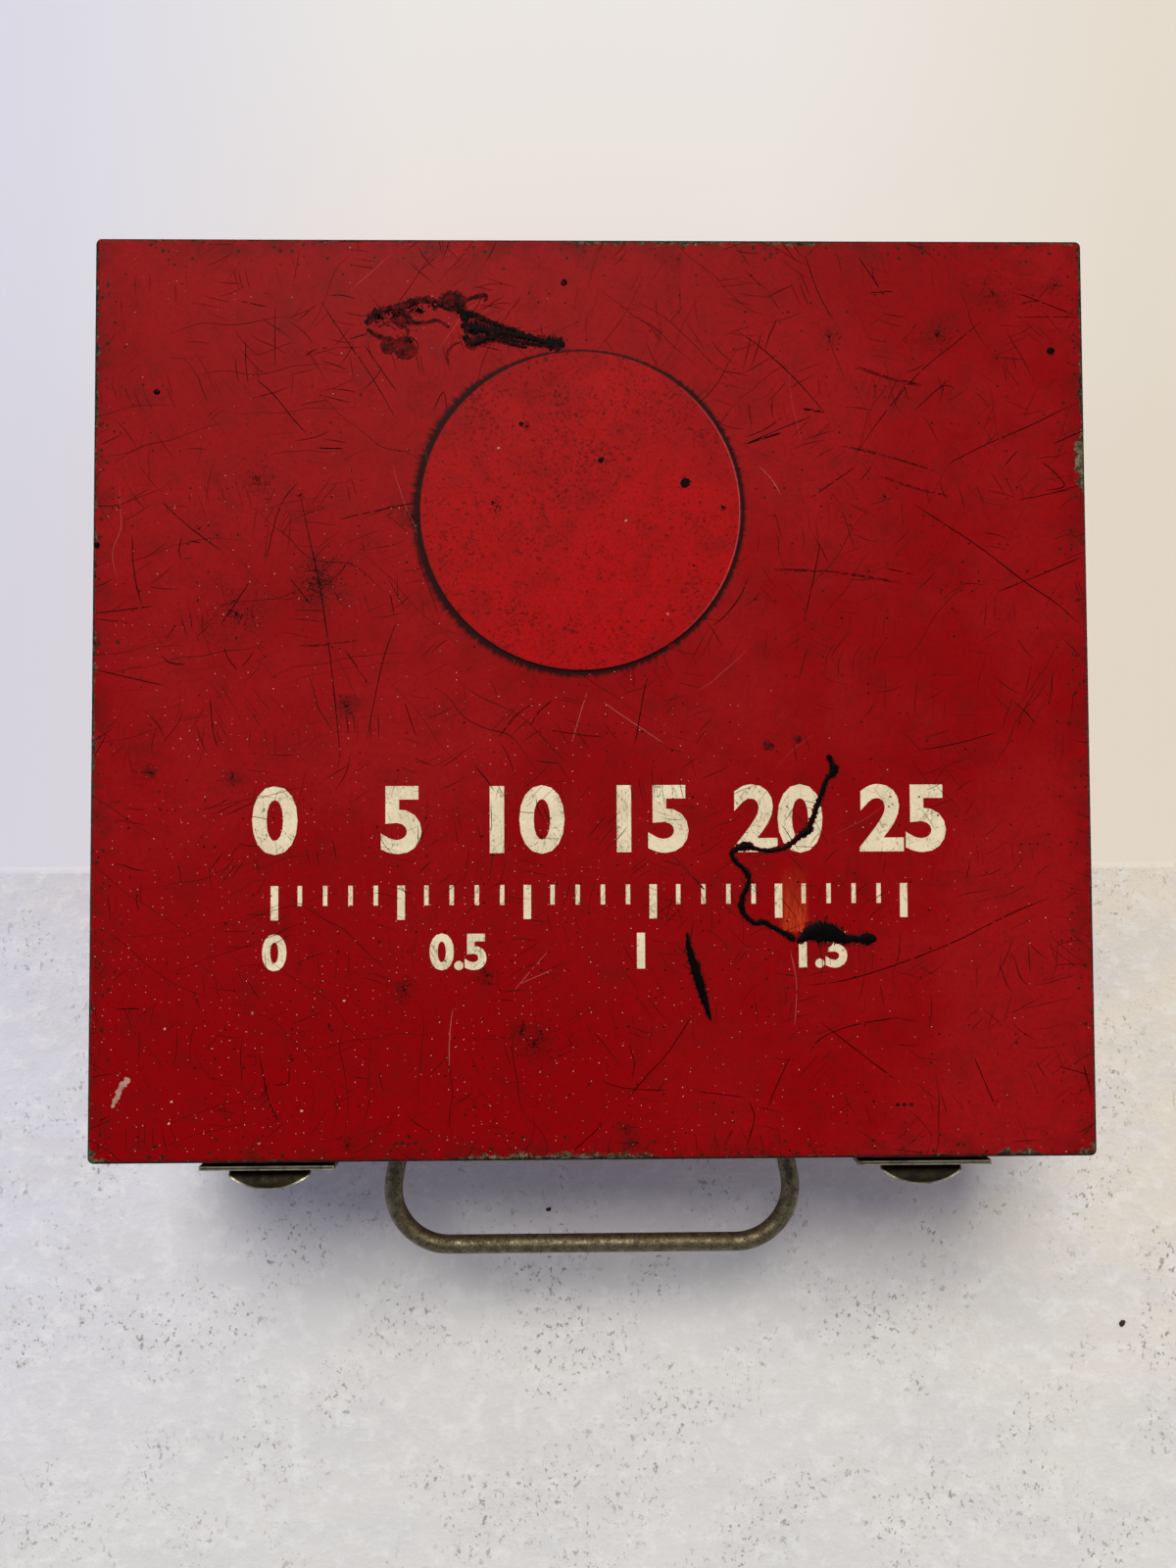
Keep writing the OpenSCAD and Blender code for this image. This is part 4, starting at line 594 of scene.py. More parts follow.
def clear_glass(name, tint):
    """Flat gauge glass: clear, with a few faint wipe marks in its gloss. The thin pane lets most
    light straight through, so the dial under it stays bright."""
    material, tree = blank(name)
    marks = put(tree, "TexNoise", {"Vector": millimetres(tree), "Scale": 1 / 9, "Detail": 5.0})
    return shaded(material, {"Base Color": linear(tint), "Transmission Weight": 1.0, "IOR": 1.45, "Alpha": 0.35,
                             "Roughness": put(tree, "MapRange", (marks, 0.45, 0.75, 0.02, 0.10))})


def limewashed_board(name, lime, wall):
    """Limewashed board for the floor: pale and matt, lightly trowelled, with pits and a few dark
    specks near the viewer; its far half is plain."""
    material, tree = blank(name)
    mm = millimetres(tree)
    part = put(tree, "SeparateXYZ", (mm,)).node.outputs
    far = put(tree, "MapRange", (part[1], -48.5, -46.5))
    near_half = put(tree, "Math", (1.0, far), operation="SUBTRACT")
    # Painted light: close to the case only, the tone turns bluish to the left and sandy to the right, as cool and warm
    # side light would tint it
    close = overlap(tree, put(tree, "MapRange", (part[1], -280.0, -150.0)),
                    near(tree, part[0], 0.0, 300.0, 300.0))
    painted_cool_light = overlap(tree, put(tree, "MapRange", (part[0], -60.0, -190.0)), close)
    painted_warm_light = overlap(tree, put(tree, "MapRange", (part[0], 60.0, 190.0)), close)
    trowel = put(tree, "TexNoise", {"Vector": put(tree, "VectorMath", (mm, (0.5, 1.0, 1.0)), operation="MULTIPLY"),
                                    "Scale": 1 / 22, "Detail": 8.0, "Roughness": 0.66})
    brush = put(tree, "TexNoise", {"Vector": mm, "Scale": 1 / 7, "Detail": 6.0, "Roughness": 0.7})
    # Sand showing through the lime in flecks of 1 to 2 mm, and dirt caught in hollows of a few mm
    sand = put(tree, "TexNoise", {"Vector": put(tree, "VectorMath", (mm, (1.0, 0.75, 1.0)), operation="MULTIPLY"),
                                  "Scale": 1 / 2.0, "Detail": 3.0, "Roughness": 0.75})
    hollow = put(tree, "TexNoise", {"Vector": mm, "Scale": 1 / 4.5, "Detail": 6.0, "Roughness": 0.8})
    # Both gather in drifts, most of all in a band below the handle
    band = overlap(tree, near(tree, part[0], 3.0, 14.0, 20.0),
                   put(tree, "MapRange", (part[1], -165.0, -190.0)))
    gather = put(tree, "TexNoise", {"Vector": mm, "Scale": 1 / 30, "Detail": 5.0, "Roughness": 0.6})
    gather = put(tree, "Math", (band, 0.07, gather), operation="MULTIPLY_ADD")
    gather = put(tree, "MapRange", (gather, 0.47, 0.62, 0.04, 1.0))
    drift = overlap(tree, gather, near_half)
    layers = [(overlap(tree, put(tree, "MapRange", (pattern, low, high)), where), weight, tone)
              for pattern, low, high, where, weight, tone in (
                  (trowel, 0.42, 0.60, near_half, 0.5, "#CDCDCE"), (brush, 0.50, 0.62, near_half, 0.4, "#E8E8E7"),
                  (hollow, 0.56, 0.68, drift, 0.5, "#A39C90"), (sand, 0.585, 0.63, drift, 0.7, "#7A7266"))]
    colour = coats(tree, lime, (far, 1.0, wall), (painted_cool_light, 0.8, "#D4D6E6"), (painted_warm_light, 0.75, "#E0D7C6"), *layers)
    relief = put(tree, "Math", (hollow, put(tree, "Math", (brush, 2.0), operation="MULTIPLY")), operation="ADD")
    relief = put(tree, "Bump", {"Height": overlap(tree, relief, near_half), "Strength": 0.5, "Distance": 0.0006})
    return shaded(material, {"Base Color": colour, "Roughness": 0.85, "Specular IOR Level": 0.1, "Normal": relief})


# ---------- settings ----------

def colour_setting(name, description, code):
    """A colour property whose default is written as an sRGB hex value."""
    return FloatVectorProperty(name=name, description=description, subtype="COLOR", size=4, min=0.0, max=1.0,
                               default=linear(code))


class CaseSettings(bpy.types.PropertyGroup):
    enamel: colour_setting("Enamel", "Red of the case", "#870206")
    # The second red is a painted reflection on the far and right parts, where handling also dulled the enamel
    enamel_haze: colour_setting("Dulled enamel", "Red where handling dulled it", "#910E11")
    disc: colour_setting("Disc enamel", "Brighter red of the disc", "#A9080B")
    zinc: colour_setting("Handle wire", "Aged zinc of the wire handle", "#7B7258")


class PrintSettings(bpy.types.PropertyGroup):
    cream: colour_setting("Print", "Cream of the printed scale", "#E6D8B8")
    tall: FloatProperty(name="Numeral height", description="Height of the large numerals in metres",
                        default=0.0166, min=0.008, max=0.02, unit="LENGTH")
    bold: FloatProperty(name="Stroke gain", description="How far the strokes are thickened in metres",
                        default=0.0007, min=0.0, max=0.0015, unit="LENGTH")
    last: IntProperty(name="Highest number", description="Highest number on the large scale", default=25, min=10,
                      max=30)


class HoseSettings(bpy.types.PropertyGroup):
    radius: FloatProperty(name="Hose radius", description="Outside radius of the hose in metres",
                          default=0.006, min=0.004, max=0.008, unit="LENGTH")
    black: colour_setting("Hose rubber", "Colour of the hose", "#232324")


class StageSettings(bpy.types.PropertyGroup):
    floor: colour_setting("Floor", "Colour of the floor near the viewer", "#D8D7D5")
    wall: colour_setting("Backdrop", "Colour of the far half of the floor", "#E9E8E5")
    light: FloatProperty(name="Main light", description="Strength of the broad soft light from the hinge side",
                         default=2.8, min=0.0, max=10.0)
    fill: FloatProperty(name="Side lamps", description="Power of each soft side lamp in watts", default=1.8,
                        min=0.0, max=20.0, unit="POWER")
    world: FloatProperty(name="Sky level", description="Strength of the sky at the horizon", default=0.75,
                         min=0.0, max=2.0)


# ---------- pieces ----------

class TESTER_OT_case_enamel(bpy.types.Operator):
    """Paints the steel case and the disc on its lid"""
    bl_idname = "tester.case_enamel"
    bl_label = "Case enamel"

    def execute(self, context):
        look = context.scene.tester_case
        case = baked_enamel("baked_red_enamel", look.enamel, look.enamel_haze, False)
        finish_node(case, "case_base", "rim_strip", "case_lid")
        # The disc's second red is its painted reflection
        finish_node(baked_enamel("disc_red_enamel", look.disc, linear("#960E11"), True), "lid_disc")
        return {"FINISHED"}


# The printed scale on the lid, in mm: its first tick, its length, the middle of the large numerals, the top of the
# ticks, the middle and the height of the small numerals, and how thick the ink is
SCALE_START, SCALE_LENGTH, NUMERAL_ROW, TICK_TOP, SMALL_ROW, SMALL_HEIGHT, INK_THICK = (
    -80.4, 158.8, -31.8, -48.3, -65.0, 8.7, 0.02)
# How many ticks of the large scale half a unit of the small one spans
SMALL_STEP = 7.252
# Length and width in mm of the ticks at each fifth number and of the others
FIFTH_TICK, PLAIN_TICK = (8.6, 1.9), (5.0, 1.1)


class TESTER_OT_scale_print(bpy.types.Operator):
    """Prints a plain pressure scale in cream on the lid"""
    bl_idname = "tester.scale_print"
    bl_label = "Printed scale"

    def execute(self, context):
        look = context.scene.tester_print
        ink = screen_print("cream_screen_print", look.cream)
        z, bold, step = LID_TOP + PRINT_FOOT, look.bold / MM, SCALE_LENGTH / look.last
        large, ruled, small = bmesh.new(), bmesh.new(), bmesh.new()
        for value in range(0, look.last + 1, 5):
            numeral(large, str(value), look.tall / MM, SCALE_START + value * step, NUMERAL_ROW, z, bold, INK_THICK)
        for value in range(look.last + 1):
            long, wide = PLAIN_TICK if value % 5 else FIFTH_TICK
            plate(ruled, SCALE_START + value * step, TICK_TOP - long / 2, z, wide, long, INK_THICK)
        for place, label in enumerate(("0", "0.5", "1", "1.5")):
            x = SCALE_START + place * SMALL_STEP * step
            numeral(small, label, SMALL_HEIGHT, x, SMALL_ROW, z, bold * 0.62, INK_THICK)
        for name, shape in (("print_numerals", large), ("print_ticks", ruled), ("print_small_numerals", small)):
            build_piece(name, shape, ink, "lid", smooth=False)
        return {"FINISHED"}


# Dried tar on the lid, in mm: x, y and width along each run
TAR_RUNS = {
    "tar_ridge": ((-57.5, 94.9, 0.79), (-56.8, 96.1, 1.47), (-55.6, 97.6, 1.70), (-53.5, 98.5, 1.25),
        (-51.2, 99.1, 1.25), (-48.9, 99.4, 1.59), (-46.0, 100.7, 1.25), (-43.2, 101.2, 1.13), (-40.9, 101.3, 1.25),
        (-39.6, 100.6, 0.45)),
    "tar_branch": ((-49.2, 98.9, 0.91), (-47.4, 97.2, 1.36), (-46.1, 95.5, 0.79), (-42.6, 95.4, 0.45),
        (-39.4, 95.9, 0.28), (-36.6, 94.2, 0.23)),
    "tar_clump": ((-38.9, 99.4, 0.90), (-38.2, 101.0, 1.60), (-36.6, 102.3, 1.90), (-34.6, 102.2, 2.00),
        (-33.2, 100.8, 1.50), (-33.6, 98.9, 1.60)),
    "tar_bridge": ((-38.3, 99.7, 0.68), (-36.3, 98.9, 0.91), (-34.0, 98.9, 1.02)),
    "tar_hook": ((-33.3, 100.8, 0.40), (-30.5, 101.8, 0.51), (-27.4, 102.6, 0.62), (-27.2, 101.1, 0.40)),
    "tar_slash": ((-34.4, 100.4, 1.60), (-33.6, 98.6, 1.80), (-32.4, 96.4, 1.60), (-31.9, 94.6, 2.60),
        (-29.4, 93.9, 3.00), (-26.5, 93.5, 2.60), (-23.2, 93.0, 2.20), (-20.0, 92.4, 2.00), (-16.2, 91.5, 1.60),
        (-13.0, 90.9, 1.70), (-10.4, 90.3, 2.90), (-8.4, 89.9, 2.90), (-7.0, 89.5, 1.00)),
    "tar_slash_rail": ((-26.0, 92.0, 0.80), (-22.4, 91.2, 0.90), (-18.8, 90.4, 0.80), (-15.0, 89.8, 0.80),
        (-11.8, 89.5, 0.90), (-9.2, 89.2, 0.80)),
    "tar_upper_rail": ((-32.6, 98.2, 1.20), (-30.4, 97.4, 1.70), (-28.2, 96.4, 1.40), (-25.4, 95.2, 1.10),
        (-22.4, 94.2, 1.00), (-19.4, 93.3, 0.90)),
    "tar_lobes": ((-33.0, 91.9, 1.10), (-31.8, 91.0, 1.70), (-30.6, 90.0, 2.10), (-28.5, 90.7, 2.00),
        (-25.8, 91.5, 1.70), (-22.5, 90.5, 0.68), (-19.6, 89.7, 0.91), (-17.8, 89.3, 0.91), (-16.5, 89.1, 0.34)),
    "tar_edge_line": ((-57.5, 93.7, 0.40), (-55.2, 92.2, 0.68), (-53.2, 91.4, 0.68), (-50.9, 91.0, 0.91)),
    "tar_path": ((59.5, -15.7, 0.85), (59.9, -16.4, 1.36), (60.4, -17.9, 1.02), (61.0, -19.4, 2.38),
        (60.2, -20.9, 1.36), (59.2, -21.9, 1.02), (58.0, -25.2, 1.19), (56.4, -29.4, 1.02), (55.1, -32.9, 1.19),
        (54.5, -34.8, 1.53), (53.1, -35.6, 1.70), (51.8, -36.7, 1.02), (48.8, -39.1, 0.85), (46.1, -39.8, 0.85),
        (43.4, -40.0, 0.77), (40.7, -39.5, 0.85), (39.2, -38.8, 1.36), (37.8, -38.8, 2.04), (36.5, -39.4, 1.36),
        (35.1, -40.2, 1.19), (34.9, -41.1, 1.02), (35.9, -42.9, 1.02), (37.4, -44.1, 1.02), (38.4, -45.2, 1.19),
        (39.2, -47.1, 1.02), (38.7, -48.9, 1.02), (37.8, -50.8, 1.19), (37.3, -53.0, 1.36), (37.2, -54.2, 1.53),
        (37.8, -55.8, 1.19), (39.2, -57.4, 1.02), (40.8, -58.3, 1.19), (42.2, -57.9, 1.19), (44.1, -58.7, 1.02),
        (46.4, -60.0, 1.02), (48.5, -61.1, 1.19), (50.7, -62.6, 1.70)),
    "tar_blob": ((51.1, -63.2, 0.57), (52.6, -62.1, 2.09), (54.4, -61.0, 3.42), (56.6, -60.6, 4.95),
        (58.8, -60.7, 5.52), (60.9, -61.4, 4.19), (63.1, -62.2, 2.67), (65.3, -62.4, 1.72), (67.1, -62.4, 1.90),
        (68.7, -62.4, 3.04), (70.1, -62.4, 2.29), (71.4, -62.5, 0.77)),
    "tar_streak": ((23.4, -60.6, 0.38), (23.8, -64.0, 1.27), (24.5, -66.7, 1.78), (25.5, -70.2, 2.15),
        (26.4, -72.9, 2.15), (27.2, -76.0, 1.78), (28.2, -79.1, 1.40), (28.7, -81.1, 0.88), (29.1, -82.6, 0.31)),
}
# The later spill: thick and whole
FRESH_RUNS = ("tar_path", "tar_blob", "tar_streak")
# Old runs that are mostly whole; the other old ones were picked over
DRIED_RUNS = ("tar_slash", "tar_slash_rail", "tar_upper_rail", "tar_lobes")
# Drops of tar, in mm: x, y and radius
TAR_DOTS = (
    (-7.1, 105.9, 0.85), (2.2, 59.8, 0.75), (23.7, 53.9, 1.3), (118.3, 88.4, 1.0), (-110.8, 77.4, 0.8),
    (-125.6, 38.1, 0.8), (76.2, -104.0, 0.45), (77.9, -104.0, 0.4), (79.7, -104.0, 0.45), (-18.1, 69.1, 0.6),
    (-25.4, 48.9, 0.45), (33.2, 47.8, 0.35),
)
# Places where tar ran thin or was wiped off, in the same way
STAIN_RUNS = {
    "stain_loop": ((-54.6, 94.2, 0.40), (-52.3, 95.4, 0.51), (-49.9, 95.8, 0.68), (-47.7, 94.4, 0.91),
        (-47.0, 92.4, 0.68), (-48.8, 91.1, 0.45)),
    "stain_ring_small": ((-50.1, 89.3, 0.45), (-50.6, 88.1, 0.45), (-51.7, 87.5, 0.45), (-53.0, 87.7, 0.45),
        (-53.8, 88.7, 0.45), (-53.8, 90.0, 0.45), (-53.0, 91.0, 0.45), (-51.7, 91.2, 0.45), (-50.6, 90.6, 0.45),
        (-50.1, 89.3, 0.45)),
    "stain_ring_large": ((-44.5, 89.1, 0.45), (-45.0, 87.5, 0.45), (-46.5, 86.5, 0.91), (-48.4, 86.5, 0.91),
        (-49.8, 87.5, 0.91), (-50.4, 89.1, 0.45), (-49.9, 90.7, 0.45), (-48.4, 91.7, 0.45), (-46.5, 91.7, 0.45),
        (-45.0, 90.7, 0.45), (-44.5, 89.1, 0.45)),
    "stain_wisp": ((-33.3, 90.5, 0.34), (-35.8, 89.4, 0.68), (-37.1, 87.3, 0.79), (-36.6, 84.7, 0.23)),
    "stain_scar": ((19.5, -40.8, 0.25), (21.9, -43.0, 0.4), (24.0, -45.4, 0.6), (26.2, -47.8, 0.6),
        (27.8, -49.7, 0.4)),
}
STAIN_DOTS = (
    (-52.0, 89.3, 1.7), (-47.4, 89.1, 2.5), (-48.6, 96.0, 2.0), (-36.0, 100.6, 1.5), (44.4, -13.3, 1.4),
    (51.8, -11.7, 1.1), (20.0, 12.4, 0.9),
)

# Crumbs of tar, in mm: x, y, reach and how close they lie
TAR_CRUMBS = (
    (-35.6, 100.6, 1.9, 4.0), (-48.5, 95.8, 3.2, 1.5), (-52.0, 89.3, 2.0, 2.2), (-47.4, 89.1, 3.0, 1.6),
    (-49.0, 86.8, 1.2, 5.0), (-44.0, 98.6, 2.2, 2.0), (-54.5, 97.0, 2.6, 2.6), (-40.5, 99.6, 1.6, 2.0),
    (-31.0, 93.6, 2.4, 2.4), (-46.0, 100.0, 2.4, 2.2), (-50.5, 97.2, 2.6, 1.8),
)

# Knocks and rubs seen on the lid, in mm: width, then the points of each scratch
LID_SCRATCHES = (
    (0.3, (-69.2, 100.9), (-66.3, 96.3), (-62.0, 89.9), (-56.3, 81.5), (-52.3, 74.6), (-50.3, 70.8)),
    (0.32, (-58.0, 89.6), (-54.6, 84.4), (-49.9, 77.7)),
    (0.28, (-85.4, 80.6), (-80.8, 76.3), (-76.2, 70.5), (-72.5, 66.4)),
    (0.5, (-73.4, 86.7), (-71.4, 87.9), (-67.7, 89.0)), (0.3, (-68.9, 85.5), (-65.4, 84.4), (-62.9, 83.3)),
    (0.3, (-62.0, 91.1), (-57.5, 92.5)), (0.2, (-88.3, 91.3), (-88.2, 83.8), (-87.4, 78.6)),
    (0.18, (-80.9, 99.4), (-80.8, 83.8)), (0.25, (-70.2, 63.0), (-63.4, 62.9)), (0.25, (-89.8, 100.9), (-83.2, 99.4)),
    (0.25, (-40.6, 72.5), (-38.0, 77.5), (-37.1, 72.3)),
    (0.32, (115.5, -52.2), (104.0, -57.0), (90.8, -63.4), (75.5, -69.2), (62.4, -72.9), (53.7, -73.9)),
    (0.28, (49.2, -91.6), (45.9, -98.5), (43.2, -104.9)), (0.3, (56.9, -83.1), (66.5, -90.7), (75.7, -97.7)),
    (0.28, (54.1, -91.1), (56.8, -87.4), (64.5, -84.2), (76.4, -82.1)), (0.28, (95.8, -92.5), (101.0, -104.8)),
    (0.25, (83.8, -14.5), (92.6, -12.9), (102.5, -10.2)), (0.25, (123.5, -94.3), (125.5, -102.3)),
    (0.22, (117.5, -94.8), (125.1, -97.0)), (0.26, (-23.8, -10.9), (-21.3, -7.2), (-18.8, -4.7), (-14.9, -2.2)),
    (0.3, (-16.0, -8.1), (-14.0, -4.7), (-10.6, -1.7)), (0.28, (14.0, 4.5), (12.9, 0.9), (12.0, -4.1), (10.5, -12.8)),
    (0.22, (-11.7, -9.2), (-5.0, -10.2), (2.2, -11.2)), (0.32, (39.5, 29.3), (37.3, 24.5), (33.4, 19.7), (30.5, 17.4)),
    (0.35, (39.2, 64.0), (42.8, 65.3), (48.6, 67.0)), (0.28, (39.5, 66.0), (44.1, 67.9), (48.6, 70.9)),
    (0.32, (-84.1, -90.4), (-83.0, -95.1), (-81.6, -101.8), (-79.3, -106.6)),
    (0.25, (-76.6, -93.5), (-76.8, -97.4), (-80.2, -97.9)), (0.25, (-119.9, -78.8), (-113.8, -78.6)),
    (0.4, (-120.8, -105.0), (-123.9, -106.6)),
    (0.34, (-74.4, 51.3), (-71.9, 39.5), (-69.4, 28.3), (-67.0, 12.3), (-65.6, 0.5), (-64.2, -14.0), (-64.8, -18.8)),
    (0.25, (-75.1, 54.1), (-78.5, 49.9), (-80.5, 45.0), (-82.9, 34.6)),
    (0.28, (-64.3, 44.7), (-55.7, 46.8), (-44.6, 49.1)),
    (0.26, (-116.7, 40.9), (-116.4, 33.9), (-115.5, 27.7), (-114.1, 22.8)),
    (0.28, (-126.1, 20.8), (-119.6, 21.4), (-111.4, 22.5)), (0.25, (-125.4, 19.4), (-117.5, 18.3)),
    (0.28, (-125.3, 6.4), (-118.7, 4.8), (-108.5, 2.4)), (0.24, (-109.5, 49.2), (-101.9, 42.3), (-94.3, 36.7)),
    (0.45, (-74.2, 12.5), (-69.4, 12.5), (-60.1, 13.7)), (0.45, (-62.8, 11.3), (-60.1, 7.5), (-57.0, 2.6)),
    (0.26, (-96.8, -1.1), (-96.2, -8.3), (-95.0, -13.2)), (0.4, (-107.9, 14.1), (-105.5, 17.8)),
    (0.28, (-109.2, 10.2), (-107.1, 8.3), (-103.4, 7.7)), (0.3, (-93.4, 12.0), (-92.1, 8.9), (-90.0, 6.3)),
    (0.22, (-50.1, 18.2), (-53.2, 8.8), (-55.6, -2.2), (-57.3, -11.2)),
    (0.25, (-87.3, 28.3), (-90.8, 22.8), (-94.2, 17.9)), (0.26, (-47.7, -2.3), (-44.9, -10.6)),
    (0.28, (-104.3, 39.8), (-104.9, 36.7), (-104.2, 33.9)), (0.4, (-103.9, 34.5), (-101.5, 34.6)),
    (0.3, (-102.2, 39.1), (-99.5, 38.8)), (0.24, (-51.5, 25.5), (-50.5, 20.3)), (0.24, (-77.0, 29.7), (-71.5, 22.8)),
    (0.25, (-69.2, 62.9), (-63.7, 62.9)), (0.26, (37.2, 93.6), (43.5, 89.1), (51.6, 81.6), (59.7, 72.4)),
    (0.6, (68.4, 84.1), (76.2, 81.3), (84.7, 79.4)), (0.5, (63.7, 63.7), (75.2, 61.1), (88.5, 57.0)),
    (0.42, (74.0, 55.8), (82.5, 52.8), (91.4, 50.6)),
    (0.32, (82.1, 48.7), (88.3, 44.6), (99.4, 37.2), (110.4, 28.6), (118.5, 23.0), (124.3, 17.8)),
    (0.55, (46.3, 31.7), (58.5, 31.3), (68.1, 30.1), (78.5, 28.3)),
    (0.26, (90.8, 58.8), (101.3, 64.1), (112.5, 68.9), (123.8, 74.6)), (0.26, (118.4, 64.1), (126.7, 67.8)),
    (0.26, (110.5, 103.2), (118.3, 100.2), (125.0, 97.6)), (0.22, (109.6, 97.2), (125.0, 97.3)),
    (0.24, (67.8, 61.8), (75.3, 72.3), (84.4, 82.8), (93.5, 90.3), (100.3, 96.0)),
    (0.28, (55.8, 50.2), (61.7, 54.3), (67.3, 58.1)), (0.26, (39.2, 64.0), (47.8, 67.8), (56.0, 71.1)),
    (0.28, (103.7, 26.0), (114.1, 30.1), (125.4, 34.9)), (0.26, (54.0, 19.4), (56.3, 29.0), (58.2, 38.7)),
    (0.22, (54.9, 113.6), (58.5, 103.1), (62.2, 96.3)), (0.26, (68.7, 112.9), (71.3, 109.1), (74.2, 104.6)),
    (0.3, (75.2, 32.0), (81.8, 30.4)), (0.26, (82.8, 72.7), (86.5, 76.1), (90.5, 79.2), (93.3, 78.3)),
    (0.3, (71.6, 103.5), (77.6, 104.0)), (0.35, (54.1, 73.2), (59.6, 72.4)),
    (0.26, (115.4, 59.6), (119.0, 56.6), (121.2, 53.2), (116.4, 52.1)),
    (0.22, (109.2, 49.5), (118.2, 51.4), (125.7, 53.6)),
    (0.3, (24.7, -81.0), (21.6, -85.9), (17.8, -91.3), (13.3, -96.0), (8.1, -102.1)),
    (0.3, (-5.6, -114.9), (1.6, -108.5)), (0.22, (1.7, -97.6), (7.8, -99.4), (18.1, -100.0)),
    (0.22, (24.9, -100.2), (37.3, -101.8)), (0.4, (32.4, -113.8), (34.5, -109.8)),
    (0.26, (37.9, -114.5), (40.0, -107.1), (38.7, -103.0)), (0.22, (8.6, -88.5), (9.9, -93.3), (9.2, -96.7)),
)
# Scratches wider than this are laid as strands side by side, and only scuffed the enamel
SCUFF_WIDTH = 0.38
# Scratches that left a pale mark, in the same way
PALE_LID_SCRATCHES = (
    (0.22, (49.5, -65.3), (51.0, -73.9), (50.4, -84.1)), (0.22, (2.7, -2.2), (7.5, -5.6), (12.1, -8.7), (17.8, -12.6)),
    (0.2, (-1.5, 0.6), (-3.2, -4.7), (-5.3, -11.7)), (0.2, (-20.2, -74.7), (-16.7, -70.6), (-11.9, -65.2)),
    (0.2, (-19.2, -73.3), (-10.6, -69.6)), (0.3, (-35.6, -79.3), (-36.3, -85.5), (-36.6, -95.0)),
    (0.2, (42.7, 58.2), (45.9, 54.9), (48.1, 51.0)),
)
# Grime rubbed into the lid, in mm: x, y, reach and how close its grains lie
SMUDGES = (
    (-16.6, 68.5, 1.6, 2.0), (-24.2, 48.0, 2.2, 1.6), (33.5, 47.4, 1.3, 1.6), (25.8, 32.6, 1.0, 2.0),
    (24.0, 54.3, 1.6, 3.0), (2.4, 59.9, 0.9, 3.0), (118.7, 88.3, 1.7, 0.95), (75.0, 50.5, 2.6, 0.75),
    (61.0, 91.8, 4, 0.35), (89.0, 92.6, 7, 0.32), (103.7, 103.2, 7, 0.3), (119.5, 105.5, 3.5, 0.4),
    (89.2, 26.2, 2.4, 0.5), (92.1, 21.6, 1.8, 0.6), (-18.2, -84.9, 4, 0.6), (-13.7, -85.1, 3.6, 0.65),
    (-15.4, -88.3, 7, 0.35), (-47.9, -74.5, 4.2, 0.6), (-27.0, -70.9, 4, 0.5), (-30.1, -103.1, 2.2, 0.5),
    (7.8, -109.5, 3.2, 0.5), (9.1, -112.9, 3, 0.55), (-69.4, 28.3, 10, 0.6), (-85.1, 55.2, 6.5, 0.5),
    (-74.4, 51.0, 2.2, 0.75), (-45.6, 45.0, 4.5, 0.6), (-62.5, -2.9, 4, 0.6), (-111.4, -19.6, 3, 0.65),
    (-91.2, -21.1, 3.2, 0.6), (-58.1, 37.0, 1.6, 0.7), (-100.2, 42.4, 1.2, 0.95), (-90.4, 20.7, 11, 0.28),
    (-66.5, -83.3, 1.8, 0.75), (-79.9, -105.7, 2.2, 0.6), (-76.0, -91.3, 2.6, 0.55), (-85.2, -90.9, 2.4, 0.5),
    (-61.7, -113.1, 3, 0.65),
)
# Where the enamel chipped off, in mm: x and y of small chips, and the run of the large one
CHIP_RUN = ((-120.6, -103.3, 0.6), (-119.6, -101.3, 1.2), (-118.8, -99.1, 1.3), (-117.4, -97.2, 1.6),
            (-116.3, -96.0, 0.8))
PAINT_CHIPS = (
    (8.5, 44.2), (19.0, 20.3), (-23.9, 62.9), (-105.8, -101.9), (-106.4, -107.3), (-107.6, -83.8), (-85.8, -80.0),
    (-62.9, -77.1), (-84.0, -112.4), (-73.4, -104.4), (-117.3, -96.0),
)


def scratch_mesh(shape, points, width, z, dice):
    """Adds a scratch to a bmesh as a thin flat run that tapers, wavers in width and skips here and there.
    A wide soft one is laid as several strands side by side."""
    strands = max(1, round(width / 0.24)) if width > SCUFF_WIDTH else 1
    skips = 0.025 if strands == 1 else 0.25
    for strand in range(strands):
        offset = (strand - (strands - 1) / 2) * 0.26 + (dice.uniform(-0.06, 0.06) if strands > 1 else 0.0)
        line = curve_through([(x, y, min(width, 0.30)) for x, y in points], 0.7)
        lean = sum(dice.uniform(-1, 1) for _ in range(2)) * 0.1
        row, press = None, 0.8
        for i, (x, y, wide) in enumerate(line):
            a, b = line[max(i - 1, 0)], line[min(i + 1, len(line) - 1)]
            along = Vector((b[0] - a[0], b[1] - a[1], 0)).normalized()
            press = 0.7 * press + 0.3 * dice.uniform(0.4, 1.2)
            side = Vector((-along.y, along.x, 0))
            share = min(1.0, 0.25 + min(i, len(line) - 1 - i) / (0.2 * len(line)))
            half = wide / 2 * share * press
            middle = Vector((x, y, z)) + side * (offset + lean * dice.uniform(0, 1))
            ends = [shape.verts.new((middle + side * half * s) * MM) for s in (-1, 1)]
            if row and dice.random() > skips:
                shape.faces.new((row[0], ends[0], ends[1], row[1]))
            row = ends


